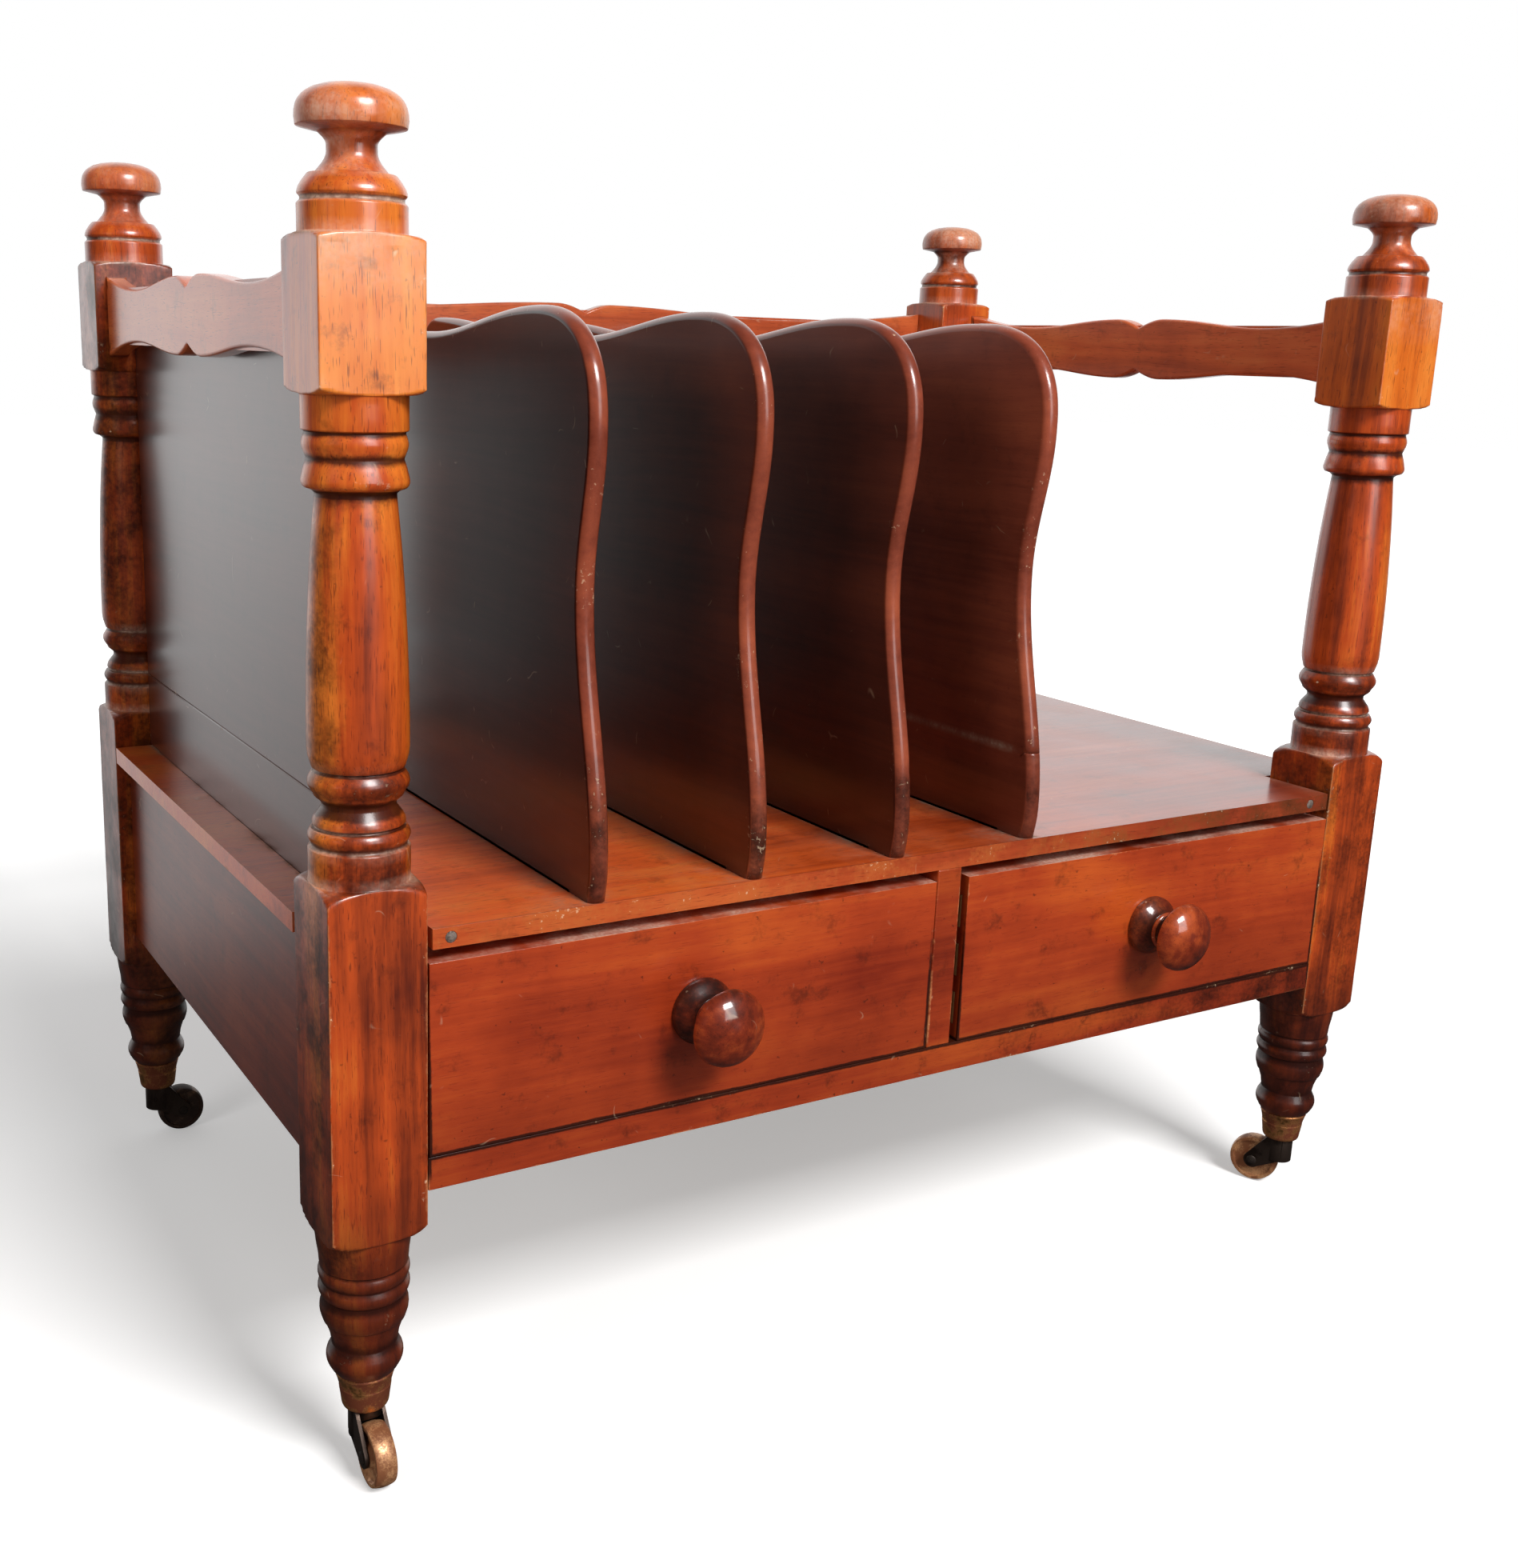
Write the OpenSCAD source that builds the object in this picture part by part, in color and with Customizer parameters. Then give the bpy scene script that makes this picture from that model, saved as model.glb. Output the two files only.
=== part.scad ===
/* [Body] */
// Width over the four corner posts
body_w = 562; // [440:1:700]
// Depth over the four corner posts
body_d = 366; // [300:1:460]
// Side of the square blocks on the posts
post_side = 38; // [34:0.5:46]

/* [Post heights] */
// Height of the turned foot between caster cup and lower block
foot_h = 61.5; // [54:0.5:90]
// Height of the lower square block
lower_block_h = 139; // [125:1:170]
// Height of the baluster between the blocks
baluster_h = 172; // [120:1:220]
// Height of the upper square block
upper_block_h = 52.5; // [46:0.5:70]
// Height of the finial's collar
finial_collar_h = 9.3; // [5:0.1:12]
// Height of the ovolo above the finial's collar
finial_ovolo_h = 7.7; // [5:0.1:10]
// Height of the finial's waist
finial_neck_h = 6; // [4:0.5:16]
// Height of the finial's mushroom cap above its widest line
cap_dome_h = 11.5; // [6:0.5:18]

/* [Post turning] */
// Radius of the plain collars beside the blocks
collar_r = 18.7; // [16.5:0.1:20]
// Height of the shoulders turned on the lower block
lower_shoulder_h = 8; // [4:0.5:10]
// Height of the shoulders turned on the upper block
upper_shoulder_h = 4.5; // [3:0.5:8]
// Radius of the foot below its tapered top
foot_taper_r = 17.2; // [16:0.1:18.5]
// Height of the foot's tapered top
foot_taper_h = 14.5; // [10:0.5:20]
// Height of each of the two small rings on the foot
foot_ring_h = 6.5; // [4:0.5:9]
// Height of the foot's large bead
foot_bead_h = 11; // [7:0.5:14]
// Radius of the foot's neck
foot_neck_r = 13.5; // [12.2:0.1:15]
// Radius of the lip above the caster cup
foot_lip_r = 15.1; // [13.5:0.1:17]
// Height of the lip above the caster cup
foot_lip_h = 11.5; // [7:0.5:13]
// Depth of the grooves between rings
groove_depth = 1.2; // [0.6:0.1:2]
// Height of the collar at the foot of the baluster
base_collar_h = 12.5; // [8:0.5:18]
// Height of the bead above that collar
base_bead_h = 5.5; // [3:0.1:8]
// Height of the bell above that bead
base_bell_h = 6; // [4:0.1:9]
// Height of the hollow between the bell and the ring
base_cove_h = 5; // [3:0.1:8]
// Radius at the bottom of that hollow
base_cove_r = 14; // [11:0.1:16]
// Height of the ring under the swelling
base_ring_h = 8.5; // [6:0.1:12]
// Largest radius of the baluster's swelling
swell_r = 18.5; // [16:0.1:19]
// Radius at the narrow top of the swelling
swell_top_r = 14.3; // [11:0.1:16]
// Height of the ovolo above the swelling
top_ovolo_h = 10.8; // [7:0.1:13]
// Height of the bead above that ovolo
top_bead_h = 7.1; // [4:0.1:9]
// Height of the collar at the top of the baluster
top_collar_h = 11.8; // [7:0.1:14]
// Radius of the finial's waist
finial_neck_r = 8.6; // [6:0.1:11]
// Largest radius of the mushroom cap
cap_r = 19; // [14:0.1:20]

/* [Deck and case] */
// Height of the lower block's top above the deck
deck_drop = 17.3; // [14:0.1:22]
// Thickness of the deck
deck_t = 8; // [7:0.1:12]
// Gap between the deck's notches and the posts
notch_gap = 1.7; // [0.5:0.1:3]
// Height of the drawer opening under the deck
opening_h = 82.3; // [60:0.1:88]
// Thickness of the rail below the drawers
drawer_rail_t = 13.3; // [12:0.1:18]
// Depth of the rail below the drawers
drawer_rail_d = 38; // [32:0.5:38]
// Height of the side and back aprons
apron_h = 96.7; // [80:0.1:100]
// Thickness of the side and back aprons
apron_t = 12; // [10:0.5:13]
// Setback of the aprons from the outer faces of the posts
apron_inset = 6.8; // [4:0.1:10]
// Width of the stile between the drawers
stile_w = 13; // [11:0.5:20]
// Depth of the stile between the drawers
stile_d = 22; // [18:0.5:30]
// Width that each drawer runner gives a drawer side to run on
runner_bearing = 15; // [12:0.5:24]
// Width of the centre runner
centre_runner_w = 52; // [46:0.5:70]
// Height of the guide strips on the runners
guide_h = 12; // [8:0.5:20]

/* [Rails] */
// Thickness of the shaped top rails
rail_t = 9.3; // [8:0.1:12]
// Setback of the side rails from the outer faces of the posts
side_rail_inset = 5.5; // [4:0.1:8]
// Setback of the back rail from the outer faces of the posts
back_rail_inset = 5; // [4:0.1:8]
// Half the height of a rail at its ends
rail_end_h = 18.8; // [17:0.1:21]
// Half the height of a rail at its hollows and its centre notch
rail_dip_h = 11.8; // [9:0.1:14]
// Half the height of a rail at its two humps
rail_hump_h = 16.5; // [14:0.1:19]
// Distance from a rail's centre to each hump
rail_hump_u = 17.5; // [12:0.5:30]
// Distance from a side rail's centre to each hollow
side_dip_u = 87; // [50:1:100]
// Distance from the back rail's centre to each hollow
back_dip_u = 127; // [80:1:160]

/* [Dividers] */
// Number of upright dividers
divider_n = 4; // [1:1:4]
// Thickness of a divider
divider_t = 8; // [6:0.1:12]
// Clear width of the bay beside the left posts
first_bay_w = 66.5; // [30:0.5:90]
// Clear width of the bays between the dividers
bay_w = 64.5; // [30:0.5:80]
// Height of a divider's front crest above the deck
divider_h = 222.6; // [160:0.5:300]
// Drop of the rear crest below the front crest
rear_crest_drop = 1.5; // [0:0.1:6]
// Drop of the shallow dip below the front crest
dip_drop = 10.3; // [2:0.1:20]
// Setback of a divider's toes from the outer faces of the posts
toe_setback = -1; // [-2:0.5:10]
// Height of the foremost point of the toes above the deck
toe_h = 14; // [8:0.5:24]
// Depth of the front waist behind the toe
waist_in = 16; // [6:0.5:24]
// Height of the waist above the deck
waist_h = 118; // [80:1:135]
// Depth of the waist behind the bulge above it
bulge_out = 8; // [3:0.5:14]
// Width of the rounded front top corner
front_corner_w = 51; // [30:0.5:70]
// Width of the rounded rear top corner
rear_corner_w = 24; // [12:0.5:50]
// Height of the rounded top corners
corner_h = 45; // [24:0.5:60]
// Width of the rounding on a divider's edge
divider_round = 2.4; // [1:0.1:2.8]
// Depth of the housings in the deck
housing_d = 3; // [2:0.1:4]
// Distance from the ends of a housing to the deck's edges
housing_stop = 18; // [10:0.5:40]
// Height of the glued foot board of the last divider
foot_board_h = 38.8; // [20:0.1:80]

/* [End panel] */
// Thickness of the left end panel
panel_t = 8; // [6:0.1:12]
// Distance from the panel's outer face to the middle of the posts, outwards
panel_out = 1; // [0:0.1:3]
// Height of the panel above the deck
panel_h = 214.8; // [150:0.1:219]
// Height of the panel's lower board above the deck
panel_foot_h = 37.3; // [20:0.1:80]

/* [Drawers] */
// Gap between the drawers and the back apron
drawer_back_gap = 27.2; // [4:0.1:140]
// Thickness of a drawer front
front_t = 18; // [15:0.5:24]
// Thickness of the sides and back of a drawer
drawer_side_t = 8; // [6:0.1:10]
// Thickness of a drawer bottom
drawer_bottom_t = 5; // [4:0.1:6]
// Height of a drawer bottom above the drawer's lower edge
drawer_bottom_up = 4; // [3:0.1:6]
// Depth of the grooves that hold a drawer bottom
drawer_groove = 4; // [3:0.1:5]
// Gap above a drawer front
front_gap_top = 5.2; // [4:0.1:8]
// Gap above the drawer sides
side_gap_top = 8; // [6:0.5:14]
// Gap above a drawer's back
back_gap_top = 14; // [12:0.5:24]
// Gap at each end of the left drawer front
drawer_gap = 0.5; // [0.3:0.1:2]
// Gap between the right drawer front and the stile
shrink_gap = 4.5; // [0.5:0.1:6]
// Clearance under a drawer
drawer_lift = 0.3; // [0.2:0.05:0.5]
// Thickness of wood left in front of the dovetails
lap_t = 4; // [3:0.1:6]
// Height of a dovetail at its wide end
tail_h = 15; // [8:0.5:16]
// Taper of a dovetail from its wide end to its root, each side
tail_taper = 1.8; // [1:0.1:2.5]

/* [Knobs] */
// Radius of a knob's rose
rose_r = 14; // [11:0.1:18]
// Radius of a knob's head
knob_r = 16.2; // [13:0.1:20]
// Radius of a knob's neck
knob_neck_r = 7.5; // [5:0.1:9]
// Thickness of a knob's rose
rose_h = 9; // [6:0.1:12]
// Height of a knob's neck
knob_neck_h = 7; // [4:0.1:12]
// Thickness of a knob's head
knob_head_h = 14; // [10:0.1:18]
// Radius of the spigot that fixes a knob
spigot_r = 5; // [3:0.1:6]

/* [Casters] */
// Diameter of a caster wheel
wheel_d = 25; // [22:0.1:30]
// Width of a caster wheel
wheel_w = 8.4; // [7:0.1:10]
// Radius of a wheel's axle
axle_r = 1.6; // [1.2:0.05:2]
// Distance from a caster's swivel axis to its axle
trail = 12; // [10:0.5:15]
// Height of a caster cup above the axle
fork_h = 16; // [15.5:0.1:20]
// Thickness of the fork's arms
arm_t = 1.5; // [1.2:0.1:2.5]
// Radius of the fork's boss
boss_r = 6.8; // [6.6:0.1:8]
// Radius of the fork's arms round the axle
arm_r = 4.2; // [3.6:0.1:5.5]
// Height of a caster cup
cup_h = 15.5; // [12:0.5:20]
// Radius of a caster cup at its mouth
cup_r = 11.6; // [11:0.1:12]
// Radius of a caster cup above its rounded lower edge
cup_low_r = 9.4; // [9:0.1:10.5]
// Wall of a caster cup
cup_wall = 1.2; // [0.8:0.1:1.6]
// Radius of the swivel stem
stem_r = 2.5; // [2:0.1:3]

/* [Hidden] */
$fn = 64;

// Fits and clearances
glue_fit = 0.15;
running_fit = 0.05;
swivel_gap = 0.3;
wheel_gap = 0.45;
peg_gap = 0.1;

// Overshoot of cuts, and overlap of solids that are joined into one piece
over = 1;

// Joints between rails, aprons and posts
tenon_l = 12;
rail_tenon_t = 5;
rail_tenon_h = 26;
apron_tenon_t = 6;
apron_tenon_shoulder = 12;
bar_tenon_t = 7;
bar_tenon_shoulder = 7;
stub_l = 6;
stub_deck_l = 3;
runner_tenon_w = 30;
stile_shoulder = 2;

// Steps along each kind of curve
bead_n = 8;
cove_n = 6;
swell_n = 12;
cap_n = 10;
edge_n = 9;
crest_n = 8;

// Small turned details
under_lip_h = 1.5;
foot_bead_out = 0.1;
foot_neck_top_r = 15.2;
base_groove_h = 1.8;
base_fillet_h = 1.7;
base_ring_in = 2;
ring_gap = 0.2;
swell_groove_h = 1;
swell_low_share = 0.08;
swell_start_r = 16.9;
swell_power = 2.1;
top_step_h = 1;
top_groove_h = 1;
top_waist_h = 1.4;
ovolo_top_r = 16.9;
finial_groove_h = 2;
finial_fillet_h = 0.5;
finial_flare_h = 5.5;
ovolo_rise = 0.13;
cap_under_h = 2.5;
cap_edge_h = 2.5;
cap_under_r = 0.4;
cap_under_rise = 1;
cap_crown_r = 0.3;
cap_crown_h = 0.985;
cap_power = 2.6;
shoulder_over = 1;

// Plan: the posts' centres, their inner faces and the shift that centres the knobs' reach
post_x = (body_w - post_side) / 2;
post_y = (body_d - post_side) / 2;
in_x = post_x - post_side / 2;
in_y = post_y - post_side / 2;
out_x = body_w / 2;
out_y = body_d / 2;
toe_y = out_y - toe_setback;
knob_reach = rose_h + knob_neck_h + knob_head_h;
mid_y = (out_y + knob_reach - max(out_y, toe_y)) / 2;

// Levels above the floor
axle_z = wheel_d / 2;
cup_z = axle_z + fork_h;
foot_z = cup_z + cup_h;
lower_z = foot_z + foot_h;
baluster_z = lower_z + lower_block_h;
upper_z = baluster_z + baluster_h;
finial_z = upper_z + upper_block_h;
deck_z = baluster_z - deck_drop;
case_z = deck_z - deck_t;
sill_z = case_z - opening_h;
runner_z = sill_z - drawer_rail_t;
rail_z = upper_z + upper_block_h / 2;

// Aprons and runners in plan
apron_x = out_x - apron_inset - apron_t / 2;
apron_y = out_y - apron_inset - apron_t / 2;
apron_in_x = apron_x - apron_t / 2;
apron_in_y = apron_y - apron_t / 2;
bar_back_y = -out_y + drawer_rail_d;

// Top rails in plan
side_rail_x = out_x - side_rail_inset - rail_t / 2;
back_rail_y = out_y - back_rail_inset - rail_t / 2;

// Dividers: distances from the middle of the depth
divider_x0 = -in_x + first_bay_w + divider_t / 2;
divider_step = bay_w + divider_t;
toe_base_in = 2;
front_bulge_y = toe_y - waist_in + bulge_out;
rear_bulge_y = back_rail_y - rail_t / 2 - glue_fit;
corner_power = 2.5;
dip_front_y = 20;
dip_rear_y = 25;
housing_y = out_y - housing_stop;

// End panel
panel_x = -post_x - panel_out + panel_t / 2;
panel_y = in_y - peg_gap;

// Drawers
drawer_z = sill_z + drawer_lift;
front_h = opening_h - drawer_lift - front_gap_top;
side_h = opening_h - drawer_lift - side_gap_top;
back_top_z = case_z - back_gap_top;
front_y = -out_y;
box_y = front_y + front_t;
drawer_end_y = apron_in_y - drawer_back_gap;
bottom_z = drawer_z + drawer_bottom_up;
bottom_top_z = bottom_z + drawer_bottom_t;
knob_x = (in_x + stile_w / 2) / 2;
knob_z = drawer_z + front_h / 2;
tail_margin = 3;
tail_pitch = tail_h + 3.5;

// Deck nails
nail_head_r = 2.3;
nail_head_t = 1;
nail_r = 1;
nail_l = 22;
nail_left_in = 9;
nail_right_in = 14;

// Casters
wheel_r = wheel_d / 2;
cup_floor = 1.5;
cup_base_r = cup_low_r - 1.4;
cup_round_h = 2.5;
fork_top_z = cup_z - swivel_gap;
boss_low_z = axle_z + 3;
arm_y = wheel_w / 2 + wheel_gap;
wheel_room = 0.8;
rivet_head_r = axle_r + 1;
rivet_head_t = 0.8;
stem_head_r = stem_r + 1.3;
stem_head_t = 1.5;
stem_pocket_gap = 0.7;
tread_crown = 0.7;
web_recess = 1.3;
hub_slope = 0.6;
rim_slope = 0.3;
hub_r = 4.6;
rim_t = 2.6;

// Name, side and depth sign of each corner, and the direction its caster trails
CORNERS = [
    ["front_left", -1, -1, -90],
    ["front_right", 1, -1, 115],
    ["back_left", -1, 1, 0],
    ["back_right", 1, 1, 150]
];
SIDES = [["left", -1], ["right", 1]];
DRAWER_PARTS = ["front", "side_left", "side_right", "back", "bottom"];

// Colours of the finishes
post_wood = "#a4471f";
deck_wood = "#a8542c";
front_wood = "#a53c1c";
dark_wood = "#4a2219";
panel_wood = "#7a5346";
plain_wood = "#b98a5c";
brass = "#9a6a36";
wheel_brass = "#c09a76";
dark_metal = "#40302a";

DIVIDER_IDS = [for (i = [1:divider_n]) i];

// Smooth step from a to b as t goes from 0 to 1
function blend(a, b, t) = a + (b - a) * (1 - cos(180 * t)) / 2;

// Outline pieces of a turning, as [radius, height] points from the bottom up
function bead(r, out, z, h) =
    [for (i = [0:bead_n]) [r + out * sin(180 * i / bead_n), z + h * i / bead_n]];
function slope(r0, r1, z, h, n) =
    [for (i = [0:n]) [blend(r0, r1, i / n), z + h * i / n]];
function hollow(r0, r1, z, h) =
    [for (i = [0:cove_n]) [r0 - (r0 - r1) * sin(90 * i / cove_n), z + h * i / cove_n]];
function flare(r0, r1, z, h) =
    [for (i = [0:cove_n]) [r1 - (r1 - r0) * cos(90 * i / cove_n), z + h * i / cove_n]];
function bell(r0, r1, z, h) =
    [for (i = [0:cove_n]) [r1 + (r0 - r1) * cos(90 * i / cove_n), z + h * i / cove_n]];
function ovolo(r0, r1, out, z, h) =
    [for (i = [0:bead_n]) let(t = i / bead_n) [r0 + (r1 - r0) * t + out * sin(180 * sqrt(t)), z + h * t]];
function swelling(r0, r1, z, h) =
    [for (i = [0:swell_n]) let(t = i / swell_n) [r0 - (r0 - r1) * pow(t, swell_power), z + h * t]];

// Turned foot: peg in the cup, lip, neck, bead, two rings and a taper under the block
function foot_line() =
    let(
        neck_h = foot_h - foot_taper_h - 2 * foot_ring_h - foot_bead_h - foot_lip_h - under_lip_h,
        lip_z = foot_z + under_lip_h,
        neck_z = lip_z + foot_lip_h,
        bead_z = neck_z + neck_h,
        ring_z = bead_z + foot_bead_h,
        taper_z = ring_z + 2 * foot_ring_h,
        ring_r = foot_taper_r - groove_depth / 2,
        lip_r = foot_neck_r - groove_depth / 2
    )
    concat(
        [[0, foot_z], [cup_r, foot_z]],
        bead(lip_r, foot_lip_r - lip_r, lip_z, foot_lip_h),
        slope(foot_neck_r, foot_neck_top_r, neck_z + neck_h / 3, neck_h * 2 / 3, cove_n),
        bead(ring_r - groove_depth / 2, foot_bead_out + groove_depth, bead_z, foot_bead_h),
        bead(ring_r, groove_depth, ring_z, foot_ring_h),
        bead(ring_r, groove_depth, ring_z + foot_ring_h, foot_ring_h),
        slope(foot_taper_r, collar_r, taper_z, foot_taper_h, cove_n),
        [[0, lower_z]]
    );

// Baluster: collar, bead, bell, hollow, ring, long swelling, ovolo, bead and collar
function baluster_line() =
    let(
        base_bead_z = baluster_z + base_collar_h + base_groove_h,
        bell_z = base_bead_z + base_bead_h + base_fillet_h,
        cove_z = bell_z + base_bell_h,
        ring_z = cove_z + base_cove_h,
        swell_z = ring_z + base_ring_h + swell_groove_h,
        collar_z = upper_z - top_collar_h,
        bead_z = collar_z - top_groove_h - top_bead_h,
        ovolo_z = bead_z - top_waist_h - top_ovolo_h,
        swell_end_z = ovolo_z - top_step_h,
        belly_z = swell_z + (swell_end_z - swell_z) * swell_low_share,
        ring_r = swell_r - base_ring_in
    )
    concat(
        [[0, baluster_z], [collar_r, baluster_z], [collar_r, baluster_z + base_collar_h]],
        [[collar_r - groove_depth, baluster_z + base_collar_h + base_groove_h / 2]],
        bead(collar_r - groove_depth, groove_depth, base_bead_z, base_bead_h),
        bell(collar_r - groove_depth, base_cove_r, bell_z, base_bell_h),
        slope(base_cove_r, ring_r, cove_z + base_cove_h / 4, base_cove_h * 3 / 4 - ring_gap, cove_n),
        bead(ring_r, base_ring_in, ring_z, base_ring_h),
        [[swell_start_r - groove_depth, ring_z + base_ring_h + swell_groove_h / 2]],
        hollow(swell_start_r, swell_r, swell_z, belly_z - swell_z),
        swelling(swell_r, swell_top_r, belly_z + 1, swell_end_z - belly_z - 1),
        ovolo(swell_top_r + groove_depth, ovolo_top_r, collar_r - ovolo_top_r + groove_depth,
            ovolo_z, top_ovolo_h),
        bead(collar_r - groove_depth, groove_depth * 0.8, bead_z, top_bead_h),
        [[collar_r - groove_depth, collar_z - top_groove_h / 2], [collar_r, collar_z]],
        [[collar_r, upper_z], [0, upper_z]]
    );

// Finial: collar, ovolo, flared waist and mushroom cap
function finial_line() =
    let(
        ovolo_z = finial_z + finial_collar_h + finial_groove_h,
        flare_z = ovolo_z + finial_ovolo_h + finial_fillet_h,
        neck_z = flare_z + finial_flare_h,
        under_z = neck_z + finial_neck_h,
        under_r = cap_r / 2 + finial_neck_r / 4,
        wide_z = under_z + cap_under_h + cap_edge_h
    )
    concat(
        [[0, finial_z], [collar_r, finial_z], [collar_r, finial_z + finial_collar_h]],
        [[collar_r - groove_depth, finial_z + finial_collar_h + finial_groove_h / 2]],
        [[collar_r - groove_depth, ovolo_z]],
        bell(collar_r - groove_depth / 6, collar_r - groove_depth * 3.6,
            ovolo_z + finial_ovolo_h * ovolo_rise, finial_ovolo_h * (1 - ovolo_rise)),
        hollow(collar_r - groove_depth * 4, finial_neck_r, flare_z, finial_flare_h),
        flare(finial_neck_r, under_r, neck_z + finial_neck_h / 2, finial_neck_h / 2 + cap_under_rise),
        [[cap_r - cap_under_r, under_z + cap_under_h]],
        [for (i = [0:cap_n - 1]) let(t = i / cap_n)
            [cap_r * pow(1 - pow(t, cap_power), 1 / cap_power), wide_z + cap_dome_h * t]],
        [[cap_r * cap_crown_r, wide_z + cap_dome_h * cap_crown_h], [0, wide_z + cap_dome_h]]
    );

// A square block whose ends are turned to rounded shoulders, standing on z
module block(z, h, shoulder_h) {
    corner_r = post_side / sqrt(2) + shoulder_over;
    curve = [for (i = [0:cove_n]) [collar_r + (corner_r - collar_r) * sin(90 * i / cove_n),
        shoulder_h * (1 - cos(90 * i / cove_n))]];
    translate([0, 0, z])
        intersection() {
            translate([-post_side / 2, -post_side / 2, 0]) cube([post_side, post_side, h]);
            rotate_extrude() polygon(concat(
                [[0, 0]],
                curve,
                [for (i = [cove_n:-1:0]) [curve[i][0], h - curve[i][1]]],
                [[0, h]]
            ));
        }
}

// The tapered peg of a post inside its caster cup, hollow round the swivel stem
module cup_peg() {
    low_z = cup_z + cup_floor;
    rotate_extrude() polygon([
        [stem_head_r + stem_pocket_gap, low_z],
        [cup_low_r - cup_wall - peg_gap, low_z],
        [cup_r - cup_wall - peg_gap, foot_z],
        [0, foot_z],
        [0, low_z + stem_head_t + 2 * stem_pocket_gap],
        [stem_head_r + stem_pocket_gap, low_z + stem_head_t + 2 * stem_pocket_gap]
    ]);
}

// A box between two corners, grown by a clearance on all sides
module box(low, high, grow = 0) {
    translate([for (i = [0:2]) low[i] - grow])
        cube([for (i = [0:2]) high[i] - low[i] + 2 * grow]);
}

module apron_side_tenons(s, grow = 0) {
    box([s * apron_x - apron_tenon_t / 2, -in_y - tenon_l, case_z - apron_h + apron_tenon_shoulder],
        [s * apron_x + apron_tenon_t / 2, in_y + tenon_l, case_z - apron_tenon_shoulder], grow);
}

module apron_back_tenons(grow = 0) {
    box([-in_x - tenon_l, apron_y - apron_tenon_t / 2, case_z - apron_h + apron_tenon_shoulder],
        [in_x + tenon_l, apron_y + apron_tenon_t / 2, case_z - apron_tenon_shoulder], grow);
}

module rail_side_tenons(s, grow = 0) {
    box([s * side_rail_x - rail_tenon_t / 2, -in_y - tenon_l, rail_z - rail_tenon_h / 2],
        [s * side_rail_x + rail_tenon_t / 2, in_y + tenon_l, rail_z + rail_tenon_h / 2], grow);
}

module rail_back_tenons(grow = 0) {
    box([-in_x - tenon_l, back_rail_y - rail_tenon_t / 2, rail_z - rail_tenon_h / 2],
        [in_x + tenon_l, back_rail_y + rail_tenon_t / 2, rail_z + rail_tenon_h / 2], grow);
}

module drawer_rail_tenons(grow = 0) {
    tenon_z = sill_z - drawer_rail_t / 2;
    box([-in_x - tenon_l, -out_y + bar_tenon_shoulder, tenon_z - bar_tenon_t / 2],
        [in_x + tenon_l, bar_back_y - bar_tenon_shoulder, tenon_z + bar_tenon_t / 2], grow);
}

// Stub tenons of the centre runner, into the drawer rail and the back apron
module runner_tenons(grow = 0) {
    tenon_z = sill_z - drawer_rail_t / 2;
    box([-runner_tenon_w / 2, bar_back_y - stub_l, tenon_z - bar_tenon_t / 2],
        [runner_tenon_w / 2, apron_in_y + stub_l, tenon_z + bar_tenon_t / 2], grow);
}

// Stub tenons of the stile, into the drawer rail and the deck
module stile_tenons(grow = 0) {
    box([-stile_w / 2 + stile_shoulder, -out_y + 2 * stile_shoulder, sill_z - stub_l],
        [stile_w / 2 - stile_shoulder, -out_y + stile_d - 2 * stile_shoulder, case_z + stub_deck_l], grow);
}

module deck_nail_set(grow = 0) {
    for (x = [-in_x + nail_left_in, in_x - nail_right_in])
        translate([x, -out_y, case_z + deck_t / 2]) rotate([-90, 0, 0]) {
            translate([0, 0, -grow]) cylinder(r = nail_head_r + grow, h = nail_head_t + grow);
            cylinder(r = nail_r + grow, h = nail_l + grow);
        }
}

// Everything stands on the plan, moved back so that the knobs' reach is centred
module on_plan() {
    translate([0, mid_y, 0]) children();
}

module post(sx, sy) {
    color(post_wood) on_plan() difference() {
        translate([sx * post_x, sy * post_y, 0]) {
            cup_peg();
            rotate_extrude() polygon(foot_line());
            block(lower_z, lower_block_h, lower_shoulder_h);
            rotate_extrude() polygon(baluster_line());
            block(upper_z, upper_block_h, upper_shoulder_h);
            rotate_extrude() polygon(finial_line());
        }
        apron_side_tenons(sx, glue_fit);
        rail_side_tenons(sx, glue_fit);
        if (sy < 0) drawer_rail_tenons(glue_fit);
        if (sy > 0) apron_back_tenons(glue_fit);
        if (sy > 0) rail_back_tenons(glue_fit);
    }
}

module deck() {
    color(deck_wood) on_plan() difference() {
        box([-out_x, -out_y, case_z], [out_x, out_y, deck_z]);
        for (sx = [0, 1], sy = [0, 1])
            mirror([sx, 0, 0]) mirror([0, sy, 0])
                box([in_x - notch_gap, in_y - notch_gap, case_z - over],
                    [out_x + over, out_y + over, deck_z + over]);
        for (i = DIVIDER_IDS)
            housing(divider_x0 + (i - 1) * divider_step, divider_t, housing_y);
        housing(panel_x, panel_t, panel_y - housing_stop);
        stile_tenons(glue_fit);
        deck_nail_set(running_fit);
    }
}

// Shallow housing in the deck for a board of thickness t that stands at x
module housing(x, t, half_y) {
    box([x - t / 2 - glue_fit, -half_y - glue_fit, deck_z - housing_d],
        [x + t / 2 + glue_fit, half_y + glue_fit, deck_z + over]);
}

// Half the height of a shaped rail at distance u from its centre
function rail_half(u, span, dip_u) =
    u >= dip_u ? rail_dip_h + (rail_end_h - rail_dip_h) * pow((u - dip_u) / (span - dip_u), 2) :
    u >= rail_hump_u ? blend(rail_hump_h, rail_dip_h, (u - rail_hump_u) / (dip_u - rail_hump_u)) :
    rail_dip_h + (rail_hump_h - rail_dip_h) * sin(90 * u / rail_hump_u);

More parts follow.
